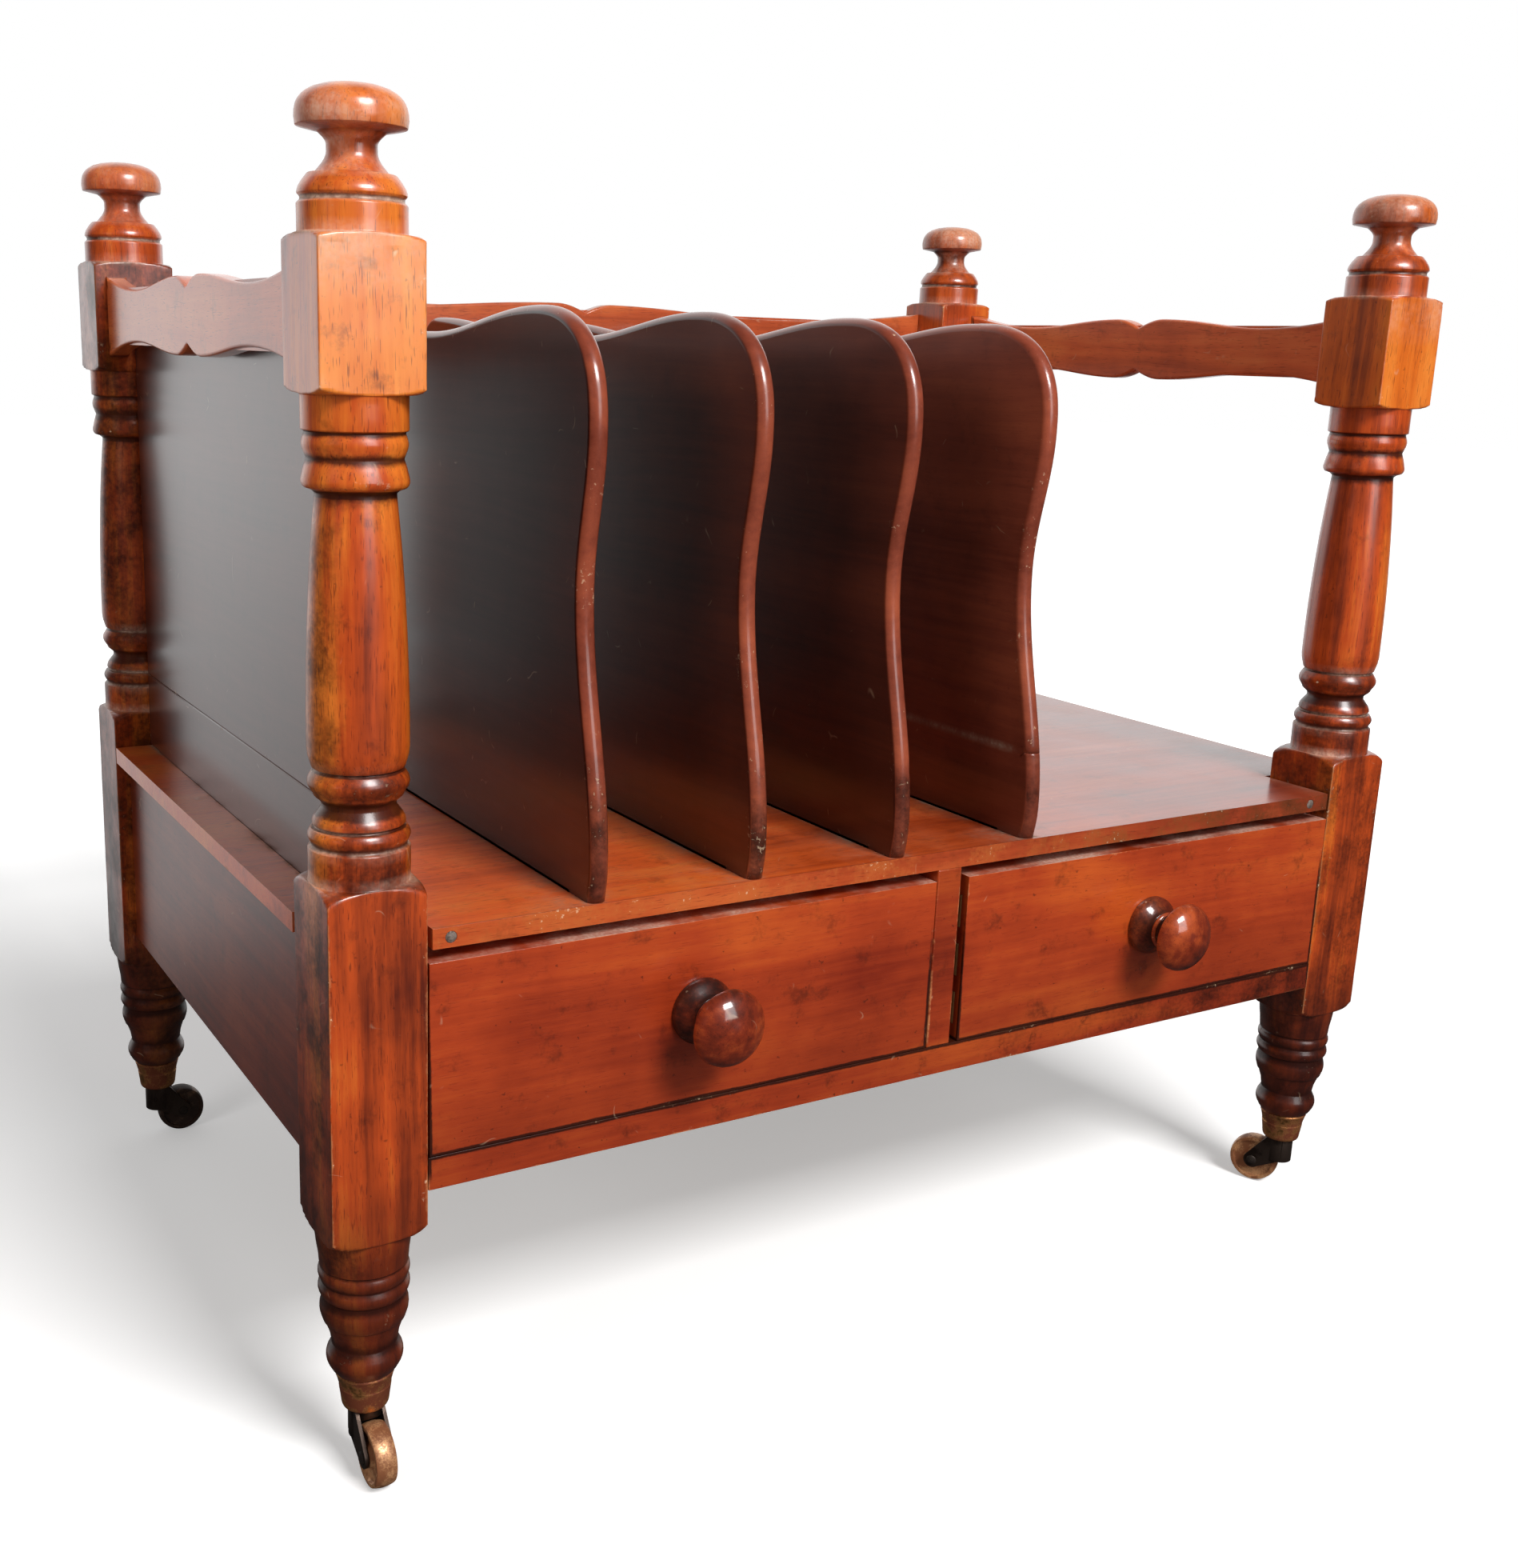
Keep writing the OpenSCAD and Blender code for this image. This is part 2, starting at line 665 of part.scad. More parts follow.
// Outline of a shaped rail: hollow ends, two humps and a pointed notch, above and below alike
module rail_outline(span, dip_u) {
    half = concat(
        [for (i = [0:cove_n - 1]) rail_hump_u * i / cove_n],
        [for (i = [0:bead_n - 1]) rail_hump_u + (dip_u - rail_hump_u) * i / bead_n],
        [for (i = [0:cove_n]) dip_u + (span - dip_u) * i / cove_n]
    );
    last = len(half) - 1;
    line = concat([for (i = [last:-1:1]) -half[i]], half);
    polygon(concat(
        [for (u = line) [u, rail_half(abs(u), span, dip_u)]],
        [for (i = [len(line) - 1:-1:0]) [line[i], -rail_half(abs(line[i]), span, dip_u)]]
    ));
}

module rail_side(s) {
    color(post_wood) on_plan() {
        translate([s * side_rail_x - rail_t / 2, 0, rail_z])
            rotate([90, 0, 90]) linear_extrude(rail_t) rail_outline(in_y, side_dip_u);
        rail_side_tenons(s);
    }
}

module rail_back() {
    color(post_wood) on_plan() {
        translate([0, back_rail_y + rail_t / 2, rail_z])
            rotate([90, 0, 0]) linear_extrude(rail_t) rail_outline(in_x, back_dip_u);
        rail_back_tenons();
    }
}

module apron_side(s) {
    color(panel_wood) on_plan() {
        box([s * apron_x - apron_t / 2, -in_y, case_z - apron_h],
            [s * apron_x + apron_t / 2, in_y, case_z]);
        apron_side_tenons(s);
    }
}

module apron_back() {
    color(panel_wood) on_plan() difference() {
        union() {
            box([-in_x, apron_in_y, case_z - apron_h], [in_x, apron_in_y + apron_t, case_z]);
            apron_back_tenons();
        }
        runner_tenons(glue_fit);
    }
}

module drawer_rail() {
    color(front_wood) on_plan() difference() {
        union() {
            box([-in_x, -out_y, runner_z], [in_x, bar_back_y, sill_z]);
            drawer_rail_tenons();
        }
        stile_tenons(glue_fit);
        runner_tenons(glue_fit);
    }
}

module drawer_stile() {
    color(front_wood) on_plan() {
        box([-stile_w / 2, -out_y, sill_z], [stile_w / 2, -out_y + stile_d, case_z]);
        stile_tenons();
    }
}

module runner_side(s) {
    edge_x = in_x - runner_bearing;
    color(plain_wood) on_plan() mirror([s < 0 ? 1 : 0, 0, 0])
        box([edge_x, -in_y, runner_z], [apron_in_x, in_y, sill_z]);
}

module runner_centre() {
    color(plain_wood) on_plan() {
        box([-centre_runner_w / 2, bar_back_y, runner_z], [centre_runner_w / 2, apron_in_y, sill_z]);
        runner_tenons();
    }
}

module guide_side(s) {
    color(plain_wood) on_plan() mirror([s < 0 ? 1 : 0, 0, 0])
        box([in_x, -in_y, sill_z], [apron_in_x, in_y, sill_z + guide_h]);
}

module guide_centre() {
    color(plain_wood) on_plan()
        box([-stile_w / 2, -out_y + stile_d, sill_z], [stile_w / 2, apron_in_y, sill_z + guide_h]);
}

// One edge of a divider, as [distance from the middle, height], from the toe to the crest
function edge_line(bulge_y, corner_w, top_h) =
    let(bulge_h = divider_h - corner_h, waist_y = bulge_y - bulge_out)
    concat(
        [for (i = [0:2]) [toe_y - toe_base_in * (1 - sin(30 * i)), toe_h * i / 3]],
        [for (i = [0:edge_n])
            [blend(toe_y, waist_y, i / edge_n), toe_h + (waist_h - toe_h) * i / edge_n]],
        [for (i = [1:edge_n])
            [blend(waist_y, bulge_y, i / edge_n), waist_h + (bulge_h - waist_h) * i / edge_n]],
        [for (i = [1:edge_n]) [bulge_y - corner_w * (1 - pow(cos(90 * i / edge_n), 2 / corner_power)),
            bulge_h + (top_h - bulge_h) * pow(sin(90 * i / edge_n), 2 / corner_power)]]
    );

// A divider's outline from its front toe over the crests to its rear toe, the rear edge on the back rail
function divider_line() =
    let(
        rear_h = divider_h - rear_crest_drop,
        dip_h = divider_h - dip_drop,
        front = edge_line(front_bulge_y, front_corner_w, divider_h),
        rear = edge_line(rear_bulge_y, rear_corner_w, rear_h),
        front_crest = front_bulge_y - front_corner_w,
        rear_crest = rear_bulge_y - rear_corner_w
    )
    concat(
        [for (p = front) [-p[0], p[1]]],
        [for (i = [1:crest_n]) [-front_crest + (front_crest - dip_front_y) * i / crest_n,
            blend(divider_h, dip_h, i / crest_n)]],
        [for (i = [0:crest_n - 1]) [dip_rear_y + (rear_crest - dip_rear_y) * i / crest_n,
            blend(dip_h, rear_h, i / crest_n)]],
        [for (i = [len(rear) - 1:-1:0]) rear[i]]
    );

// Distance of a divider's edge from the middle at height z, below its waist
function edge_reach(bulge_y, z) = z < toe_h ?
    toe_y - toe_base_in * (1 - sin(90 * z / toe_h)) :
    blend(toe_y, bulge_y - bulge_out, (z - toe_h) / (waist_h - toe_h));

// The two points of the outline at the seam of the foot board
function seam_ends() = [
    [-edge_reach(front_bulge_y, foot_board_h), foot_board_h],
    [edge_reach(rear_bulge_y, foot_board_h), foot_board_h]
];

// The outline above and below that seam
function line_above_seam() = concat(
    [seam_ends()[0]],
    [for (p = divider_line()) if (p[1] > foot_board_h) p],
    [seam_ends()[1]]
);
function line_below_seam() = concat(
    [for (p = divider_line()) if (p[0] < 0 && p[1] < foot_board_h) p],
    seam_ends(),
    [for (p = divider_line()) if (p[0] > 0 && p[1] < foot_board_h) p]
);

// A board of thickness t with the given outline, its edge rounded off except along base and seam
module rounded_board(line, t, edge) {
    n = len(line);
    out = [for (i = [0:n - 1])
        line[i][1] == 0 || line[i][1] == foot_board_h ? [sign(line[i][0]), 0] :
        let(d = line[i + 1] - line[i - 1]) [-d[1], d[0]] / norm(d)];
    rings = [[-t / 2, edge], [edge - t / 2, 0], [t / 2 - edge, 0], [t / 2, edge]];
    polyhedron(
        points = [for (r = rings, i = [0:n - 1])
            [r[0], line[i][0] - out[i][0] * r[1], line[i][1] - out[i][1] * r[1]]],
        faces = concat(
            [[for (i = [n - 1:-1:0]) i], [for (i = [0:n - 1]) 3 * n + i]],
            [for (k = [0:2], i = [0:n - 1])
                let(j = (i + 1) % n) [k * n + i, k * n + j, (k + 1) * n + j, (k + 1) * n + i]]
        )
    );
}

// The tongue of divider i in its housing
module divider_tongue() {
    box([-divider_t / 2, -housing_y, deck_z - housing_d], [divider_t / 2, housing_y, deck_z + over]);
}

module at_divider(i) {
    on_plan() translate([divider_x0 + (i - 1) * divider_step, 0, 0]) children();
}

module divider(i) {
    whole = i < divider_n;
    color(dark_wood) at_divider(i) {
        translate([0, 0, deck_z])
            rounded_board(whole ? divider_line() : line_above_seam(), divider_t, divider_round);
        if (whole) divider_tongue();
    }
}

module divider_foot_board() {
    color(dark_wood) at_divider(divider_n) {
        translate([0, 0, deck_z]) rounded_board(line_below_seam(), divider_t, divider_round);
        divider_tongue();
    }
}

// A board of the end panel between two heights, half_y to each side of the middle
module panel_board(low_z, high_z, half_y) {
    box([panel_x - panel_t / 2, -half_y, low_z], [panel_x + panel_t / 2, half_y, high_z]);
}

module end_panel_upper() {
    top_z = deck_z + panel_h - panel_t / 2;
    color(panel_wood) on_plan() {
        panel_board(deck_z + panel_foot_h, top_z, panel_y);
        translate([panel_x, panel_y, top_z]) rotate([90, 0, 0]) cylinder(r = panel_t / 2, h = 2 * panel_y);
    }
}

module end_panel_lower() {
    color(panel_wood) on_plan() {
        panel_board(deck_z, deck_z + panel_foot_h, panel_y);
        panel_board(deck_z - housing_d, deck_z + over, panel_y - housing_stop);
    }
}

module deck_nails() {
    color(dark_metal) on_plan() deck_nail_set();
}

// Left and right end of the drawer on side s
function drawer_x(s) = s < 0 ?
    [-in_x + drawer_gap, -stile_w / 2 - drawer_gap] :
    [stile_w / 2 + shrink_gap, in_x - drawer_gap];

// Dovetails between xa and xb, from y_root in direction dir, spread between two heights
module tails(xa, xb, y_root, dir, tail_l, z_low, z_high, grow = 0) {
    n = max(1, floor((z_high - z_low) / tail_pitch));
    wide = tail_h / 2 + grow;
    root = tail_h / 2 - tail_taper + grow;
    for (k = [1:n])
        translate([xa, y_root, z_low + (z_high - z_low) * (k - 0.5) / n])
            rotate([90, 0, 90]) linear_extrude(xb - xa) polygon([
                [-dir / 2, -root], [0, -root], [dir * (tail_l + grow), -wide],
                [dir * (tail_l + grow), wide], [0, root], [-dir / 2, root]
            ]);
}

module front_tails(xa, xb, grow = 0) {
    tails(xa, xb, box_y, -1, front_t - lap_t, drawer_z + tail_margin,
        drawer_z + side_h - tail_margin, grow);
}

module back_tails(xa, xb, grow = 0) {
    tails(xa, xb, drawer_end_y - drawer_side_t, 1, drawer_side_t, bottom_top_z + tail_margin,
        back_top_z - tail_margin, grow);
}

module drawer_front(s) {
    x = drawer_x(s);
    color(front_wood) on_plan() difference() {
        box([x[0], front_y, drawer_z], [x[1], box_y, drawer_z + front_h]);
        front_tails(x[0] - over, x[0] + drawer_side_t + glue_fit, glue_fit);
        front_tails(x[1] - drawer_side_t - glue_fit, x[1] + over, glue_fit);
        box([x[0] + drawer_side_t, box_y - drawer_groove, bottom_z],
            [x[1] - drawer_side_t, box_y + over, bottom_top_z], glue_fit);
        translate([s * knob_x, front_y - over, knob_z])
            rotate([-90, 0, 0]) cylinder(r = spigot_r + running_fit, h = front_t + 2 * over);
    }
}

// A drawer side between xa and xb, with its groove on the side given by inner
module drawer_side(xa, xb, inner) {
    groove_x = inner > 0 ? xb - drawer_groove : xa - over;
    color(plain_wood) on_plan() difference() {
        union() {
            box([xa, box_y, drawer_z], [xb, drawer_end_y - drawer_side_t, drawer_z + side_h]);
            box([xa, box_y, drawer_z], [xb, drawer_end_y, bottom_top_z + glue_fit]);
            front_tails(xa, xb);
            back_tails(xa, xb);
        }
        box([groove_x, box_y, bottom_z - glue_fit],
            [groove_x + drawer_groove + over, drawer_end_y + over, bottom_top_z + glue_fit]);
    }
}

module drawer_back(s) {
    x = drawer_x(s);
    color(plain_wood) on_plan() difference() {
        box([x[0], drawer_end_y - drawer_side_t, bottom_top_z + glue_fit],
            [x[1], drawer_end_y, back_top_z]);
        back_tails(x[0] - over, x[0] + drawer_side_t + glue_fit, glue_fit);
        back_tails(x[1] - drawer_side_t - glue_fit, x[1] + over, glue_fit);
    }
}

module drawer_bottom(s) {
    x = drawer_x(s);
    side_in = drawer_side_t - drawer_groove + glue_fit;
    color(plain_wood) on_plan() {
        box([x[0] + side_in, box_y + glue_fit, bottom_z], [x[1] - side_in, drawer_end_y, bottom_top_z]);
        box([x[0] + drawer_side_t, box_y - drawer_groove, bottom_z],
            [x[1] - drawer_side_t, box_y + over, bottom_top_z]);
    }
}

module drawer_part(s, part) {
    x = drawer_x(s);
    if (part == "front") drawer_front(s);
    if (part == "side_left") drawer_side(x[0], x[0] + drawer_side_t, 1);
    if (part == "side_right") drawer_side(x[1] - drawer_side_t, x[1], -1);
    if (part == "back") drawer_back(s);
    if (part == "bottom") drawer_bottom(s);
}

// Turned knob: rose, ring, neck and domed head, with its spigot through the drawer front
module knob(s) {
    ring_h = 2.5;
    rose_edge_h = 1.5;
    dome_share = 0.7;
    wide_z = rose_h + knob_neck_h + knob_head_h * (1 - dome_share);
    neck_z = rose_h + ring_h;
    color(front_wood) on_plan() translate([s * knob_x, front_y, knob_z]) rotate([90, 0, 0]) {
        translate([0, 0, -front_t]) cylinder(r = spigot_r, h = front_t + over);
        rotate_extrude() polygon(concat(
            [[0, 0], [rose_r, 0]],
            slope(rose_r, knob_neck_r + 1, rose_edge_h, rose_h - rose_edge_h, bead_n),
            bead(knob_neck_r + 0.5, 1, rose_h, ring_h),
            flare(knob_neck_r, knob_r, neck_z, wide_z - neck_z),
            [for (i = [1:cap_n - 1]) [knob_r * cos(90 * i / cap_n),
                wide_z + knob_head_h * dome_share * sin(90 * i / cap_n)]],
            [[0, wide_z + knob_head_h * dome_share]]
        ));
    }
}

// Puts a caster piece under its post, trailing in that corner's direction
module at_caster(c) {
    on_plan() translate([c[1] * post_x, c[2] * post_y, 0]) rotate([0, 0, c[3]]) children();
}

module caster_cup(c) {
    round_n = 4;
    hole_r = stem_r + running_fit;
    color(brass) at_caster(c) rotate_extrude() polygon(concat(
        [[hole_r, cup_z]],
        [for (i = [0:round_n]) [cup_base_r + (cup_low_r - cup_base_r) * sin(90 * i / round_n),
            cup_z + cup_round_h * (1 - cos(90 * i / round_n))]],
        [[cup_r, foot_z], [cup_r - cup_wall, foot_z]],
        [[cup_low_r - cup_wall, cup_z + cup_floor], [hole_r, cup_z + cup_floor]]
    ));
}

// Swivel fork: boss under the cup, stem riveted inside the cup, and two arms to the axle
module caster_fork(c) {
    color(dark_metal) at_caster(c) difference() {
        union() {
            translate([0, 0, boss_low_z]) cylinder(r = boss_r, h = fork_top_z - boss_low_z);
            translate([0, 0, fork_top_z - over])
                cylinder(r = stem_r, h = cup_z + cup_floor + swivel_gap + stem_head_t - fork_top_z + over);
            translate([0, 0, cup_z + cup_floor + swivel_gap]) cylinder(r = stem_head_r, h = stem_head_t);
            for (y = [-arm_y - arm_t, arm_y])
                translate([0, y + arm_t, 0]) rotate([90, 0, 0]) linear_extrude(arm_t) arm_outline();
        }
        translate([trail, -arm_y, axle_z])
            rotate([-90, 0, 0]) cylinder(r = wheel_r + wheel_room, h = 2 * arm_y);
        translate([trail, -arm_y - 2 * arm_t, axle_z])
            rotate([-90, 0, 0]) cylinder(r = axle_r + running_fit, h = 2 * arm_y + 4 * arm_t);
    }
}

module arm_outline() {
    tip_a = 40;
    polygon([
        [-boss_r / 2, fork_top_z],
        [boss_r * 0.75, fork_top_z],
        [trail + arm_r * cos(tip_a), axle_z + arm_r * sin(tip_a)],
        [trail - arm_r * sin(tip_a), axle_z - arm_r * cos(tip_a)],
        [-boss_r / 2, boss_low_z + 1]
    ]);
    translate([trail, axle_z]) circle(r = arm_r);
}

module caster_axle(c) {
    half = arm_y + arm_t;
    color(dark_metal) at_caster(c) translate([trail, 0, axle_z]) rotate([90, 0, 0]) {
        translate([0, 0, -half - rivet_head_t / 2]) cylinder(r = axle_r, h = 2 * half + rivet_head_t);
        translate([0, 0, half]) cylinder(r = rivet_head_r, h = rivet_head_t);
        translate([0, 0, -half - rivet_head_t]) cylinder(r = rivet_head_r, h = rivet_head_t);
    }
}

module caster_wheel(c) {
    half = wheel_w / 2;
    face = [[axle_r + running_fit, half], [hub_r, half], [hub_r + hub_slope, half - web_recess],
        [wheel_r - rim_t, half - web_recess], [wheel_r - rim_t + rim_slope, half]];
    color(wheel_brass) at_caster(c) translate([trail, 0, axle_z]) rotate([90, 0, 0]) rotate_extrude()
        polygon(concat(
            [for (i = [0:4]) [face[i][0], -face[i][1]]],
            [for (i = [0:cove_n]) let(t = 2 * i / cove_n - 1) [wheel_r - tread_crown * t * t, half * t]],
            [for (i = [4:-1:0]) face[i]]
        ));
}

for (c = CORNERS) {
    post(c[1], c[2]);
    caster_cup(c);
    caster_fork(c);
    caster_axle(c);
    caster_wheel(c);
}
for (s = SIDES) {
    rail_side(s[1]);
    apron_side(s[1]);
    runner_side(s[1]);
    guide_side(s[1]);
    knob(s[1]);
    for (p = DRAWER_PARTS)
        drawer_part(s[1], p);
}
for (i = DIVIDER_IDS)
    divider(i);
deck();
rail_back();
apron_back();
drawer_rail();
drawer_stile();
runner_centre();
guide_centre();
divider_foot_board();
end_panel_upper();
end_panel_lower();
deck_nails();
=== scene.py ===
"""Dresses the canterbury: turned posts, shaped rails, dividers, drawer case and casters.

Lengths are in metres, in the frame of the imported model, with the floor at height zero.
"""
import logging
import math
from collections.abc import Callable, Sequence
from dataclasses import dataclass
from enum import Enum
from typing import ClassVar

import bmesh
import bpy
import numpy as np
from mathutils import Matrix, Vector


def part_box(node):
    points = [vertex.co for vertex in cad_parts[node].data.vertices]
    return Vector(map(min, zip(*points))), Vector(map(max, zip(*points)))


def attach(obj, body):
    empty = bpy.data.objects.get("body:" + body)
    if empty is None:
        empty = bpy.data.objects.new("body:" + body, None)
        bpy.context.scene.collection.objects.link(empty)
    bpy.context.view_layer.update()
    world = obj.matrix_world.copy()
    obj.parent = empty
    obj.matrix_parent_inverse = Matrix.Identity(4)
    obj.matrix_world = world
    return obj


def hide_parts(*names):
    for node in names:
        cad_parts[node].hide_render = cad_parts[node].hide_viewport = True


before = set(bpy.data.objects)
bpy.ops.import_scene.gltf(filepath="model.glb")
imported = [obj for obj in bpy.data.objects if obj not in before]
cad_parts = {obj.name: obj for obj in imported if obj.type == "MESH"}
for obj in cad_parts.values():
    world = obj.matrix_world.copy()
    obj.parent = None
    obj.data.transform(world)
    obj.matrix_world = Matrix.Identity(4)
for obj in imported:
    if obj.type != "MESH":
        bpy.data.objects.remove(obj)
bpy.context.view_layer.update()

LOG = logging.getLogger("canterbury")

Socket = bpy.types.NodeSocket
Value = float | Sequence[float] | Socket
Point = tuple[float, float]

CORNERS = ("front_left", "front_right", "back_left", "back_right")
SIDES = ("left", "right")
SAME = 1e-9  # lengths that differ by less than this are the same
HALF_DIRTY = 0.34  # the hollow value at which dirt covers about half of the wood


def linear(code: str) -> tuple[float, float, float, float]:
    """Turns a colour as it is seen on a screen into scene light.

    Args:
        code: the colour as six hexadecimal digits after a hash mark.

    Returns:
        Red, green, blue and an alpha of 1.
    """
    parts = [int(code[i:i + 2], 16) / 255 for i in (1, 3, 5)]
    light = [p / 12.92 if p <= 0.04045 else ((p + 0.055) / 1.055) ** 2.4 for p in parts]
    return light[0], light[1], light[2], 1.0


def ease(a: float, b: float, t: float) -> float:
    """Returns a smooth step from a to b as t goes from 0 to 1."""
    return a + (b - a) * (1 - math.cos(math.pi * t)) / 2


def sine(t: float) -> float:
    """Returns the sine of t quarter turns."""
    return math.sin(math.pi / 2 * t)


def cosine(t: float) -> float:
    """Returns the cosine of t quarter turns."""
    return math.cos(math.pi / 2 * t)


def link(made: bpy.types.Object) -> bpy.types.Object:
    """Puts an object into the scene and returns it."""
    bpy.context.scene.collection.objects.link(made)
    return made


def over(node: str) -> Matrix:
    """Returns the move from the origin to the middle of a node's plan."""
    low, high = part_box(node)
    return Matrix.Translation(((low.x + high.x) / 2, (low.y + high.y) / 2, 0.0))


class Wiring:
    """Adds nodes to one tree, taking a socket or a plain value for each input."""

    def __init__(self, tree: bpy.types.NodeTree) -> None:
        """Keeps the tree that the nodes go into."""
        self.tree = tree

    def put(self, socket: Socket, value: Value) -> None:
        """Links value to the socket if it is a socket itself, and sets it otherwise."""
        if isinstance(value, Socket):
            self.tree.links.new(value, socket)
        else:
            socket.default_value = value

    def node(self, kind: str, inputs: dict[str | int, Value] | None = None,
             **settings: object) -> bpy.types.Node:
        """Adds a node.

        Args:
            kind: the node's type.
            inputs: a value or socket for each input that isn't left alone.
            settings: the node's own properties.

        Returns:
            The new node.
        """
        made = self.tree.nodes.new(kind)
        for key, value in settings.items():
            setattr(made, key, value)
        for key, value in (inputs or {}).items():
            self.put(made.inputs[key], value)
        return made

    def math(self, operation: str, *values: Value) -> Socket:
        """Returns the result of a math node on up to three values."""
        return self.node("ShaderNodeMath", dict(enumerate(values)), operation=operation).outputs[0]

    def times(self, first: Value, second: Value) -> Socket:
        """Returns the product of two values."""
        return self.math("MULTIPLY", first, second)

    def times_plus(self, first: Value, second: Value, third: Value) -> Socket:
        """Returns the product of two values plus a third."""
        return self.math("MULTIPLY_ADD", first, second, third)

    def minus(self, first: Value, second: Value) -> Socket:
        """Returns the first value less the second."""
        return self.math("SUBTRACT", first, second)

    def most(self, first: Value, second: Value) -> Socket:
        """Returns the larger of two values."""
        return self.math("MAXIMUM", first, second)

    def vector(self, operation: str, *values: Value) -> Socket:
        """Returns the vector that a vector math node makes of its values."""
        return self.node("ShaderNodeVectorMath", dict(enumerate(values)), operation=operation).outputs[0]

    def scaled(self, vector: Value, factor: Value) -> Socket:
        """Returns a vector times a value."""
        return self.node("ShaderNodeVectorMath", {0: vector, "Scale": factor}, operation="SCALE").outputs[0]

    def length(self, value: Value) -> Socket:
        """Returns the length of a vector."""
        return self.node("ShaderNodeVectorMath", {0: value}, operation="LENGTH").outputs["Value"]

    def axis(self, value: Value, letter: str) -> Socket:
        """Returns one coordinate of a vector."""
        return self.node("ShaderNodeSeparateXYZ", {0: value}).outputs[letter]

    def span(self, value: Value, low: Value, high: Value, start: Value = 0.0, end: Value = 1.0) -> Socket:
        """Maps low..high smoothly to start..end, held at the ends."""
        inputs = {0: value, 1: low, 2: high, 3: start, 4: end}
        return self.node("ShaderNodeMapRange", inputs, interpolation_type="SMOOTHSTEP").outputs[0]

    def noise(self, place: Value, scale: Value, detail: float = 3.0, rough: float = 0.55) -> Socket:
        """Returns a noise value, about 0.5 on average."""
        inputs = {"Vector": place, "Scale": scale, "Detail": detail, "Roughness": rough}
        return self.node("ShaderNodeTexNoise", inputs).outputs[0]

    def mix(self, factor: Value, first: Value, second: Value) -> Socket:
        """Mixes two colours."""
        made = self.node("ShaderNodeMix", data_type="RGBA")
        for index, value in ((0, factor), (6, first), (7, second)):
            self.put(made.inputs[index], value)
        return made.outputs[2]

    def ramp(self, factor: Value, stops: Sequence[tuple[float, str]]) -> Socket:
        """Returns the colour at factor on a ramp of stops, each a place and a colour code."""
        made = self.node("ShaderNodeValToRGB", {0: factor})
        band = made.color_ramp.elements
        while len(band) < len(stops):
            band.new(0.5)
        for element, (place, code) in zip(band, stops):
            element.position = place
            element.color = linear(code)
        return made.outputs[0]

    def named(self, attribute: str) -> Socket:
        """Returns a mesh attribute's value in a material."""
        return self.node("ShaderNodeAttribute", attribute_name=attribute).outputs["Fac"]

    def carried(self, attribute: str) -> Socket:
        """Returns a geometry's attribute in a Geometry Nodes tree."""
        inputs = {"Name": attribute}
        return self.node("GeometryNodeInputNamedAttribute", inputs, data_type="FLOAT").outputs[0]

    def stored(self, geometry: Socket, attribute: str, value: Socket) -> Socket:
        """Stores an attribute on a geometry's points and returns the geometry."""
        inputs = {"Geometry": geometry, "Name": attribute, "Value": value}
        stored = self.node("GeometryNodeStoreNamedAttribute", inputs, data_type="FLOAT", domain="POINT")
        return stored.outputs[0]

    def painted(self, geometry: Socket, material: Socket) -> Socket:
        """Realizes a geometry's instances and gives it its material."""
        real = self.node("GeometryNodeRealizeInstances", {0: geometry}).outputs[0]
        return self.node("GeometryNodeSetMaterial", {"Geometry": real, "Material": material}).outputs[0]


def new_tree(kind: str, name: str, inputs: dict[str, str],
             outputs: dict[str, str]) -> tuple[Wiring, dict[str, Socket], bpy.types.Node]:
    """Starts a node group with named sockets.

    Args:
        kind: the tree's type.
        name: the group's name.
        inputs: the type of each input by name.
        outputs: the type of each output by name.

    Returns:
        The wiring of the tree, its inputs' sockets by name, and its output node.
    """
    tree = bpy.data.node_groups.new(name, kind)
    for way, sockets in (("INPUT", inputs), ("OUTPUT", outputs)):
        for label, socket_type in sockets.items():
            tree.interface.new_socket(name=label, in_out=way, socket_type="NodeSocket" + socket_type)
    wiring = Wiring(tree)
    given = wiring.node("NodeGroupInput")
    return wiring, {label: given.outputs[label] for label in inputs}, wiring.node("NodeGroupOutput")


def new_material(name: str) -> tuple[bpy.types.Material, Wiring, bpy.types.Node]:
    """Starts a material.

    Args:
        name: the material's name.

    Returns:
        The material, the wiring of its tree, and its surface's node.
    """
    material = bpy.data.materials.new(name)
    material.use_nodes = True
    return material, Wiring(material.node_tree), material.node_tree.nodes["Principled BSDF"]


class Grain(Enum):
    """The direction of a piece's grain, as the turn that brings it onto X."""

    ALONG_X = (0.0, 0.0, 0.0)
    ALONG_Y = (0.0, 0.0, -math.pi / 2)
    UPRIGHT = (0.0, math.pi / 2, 0.0)


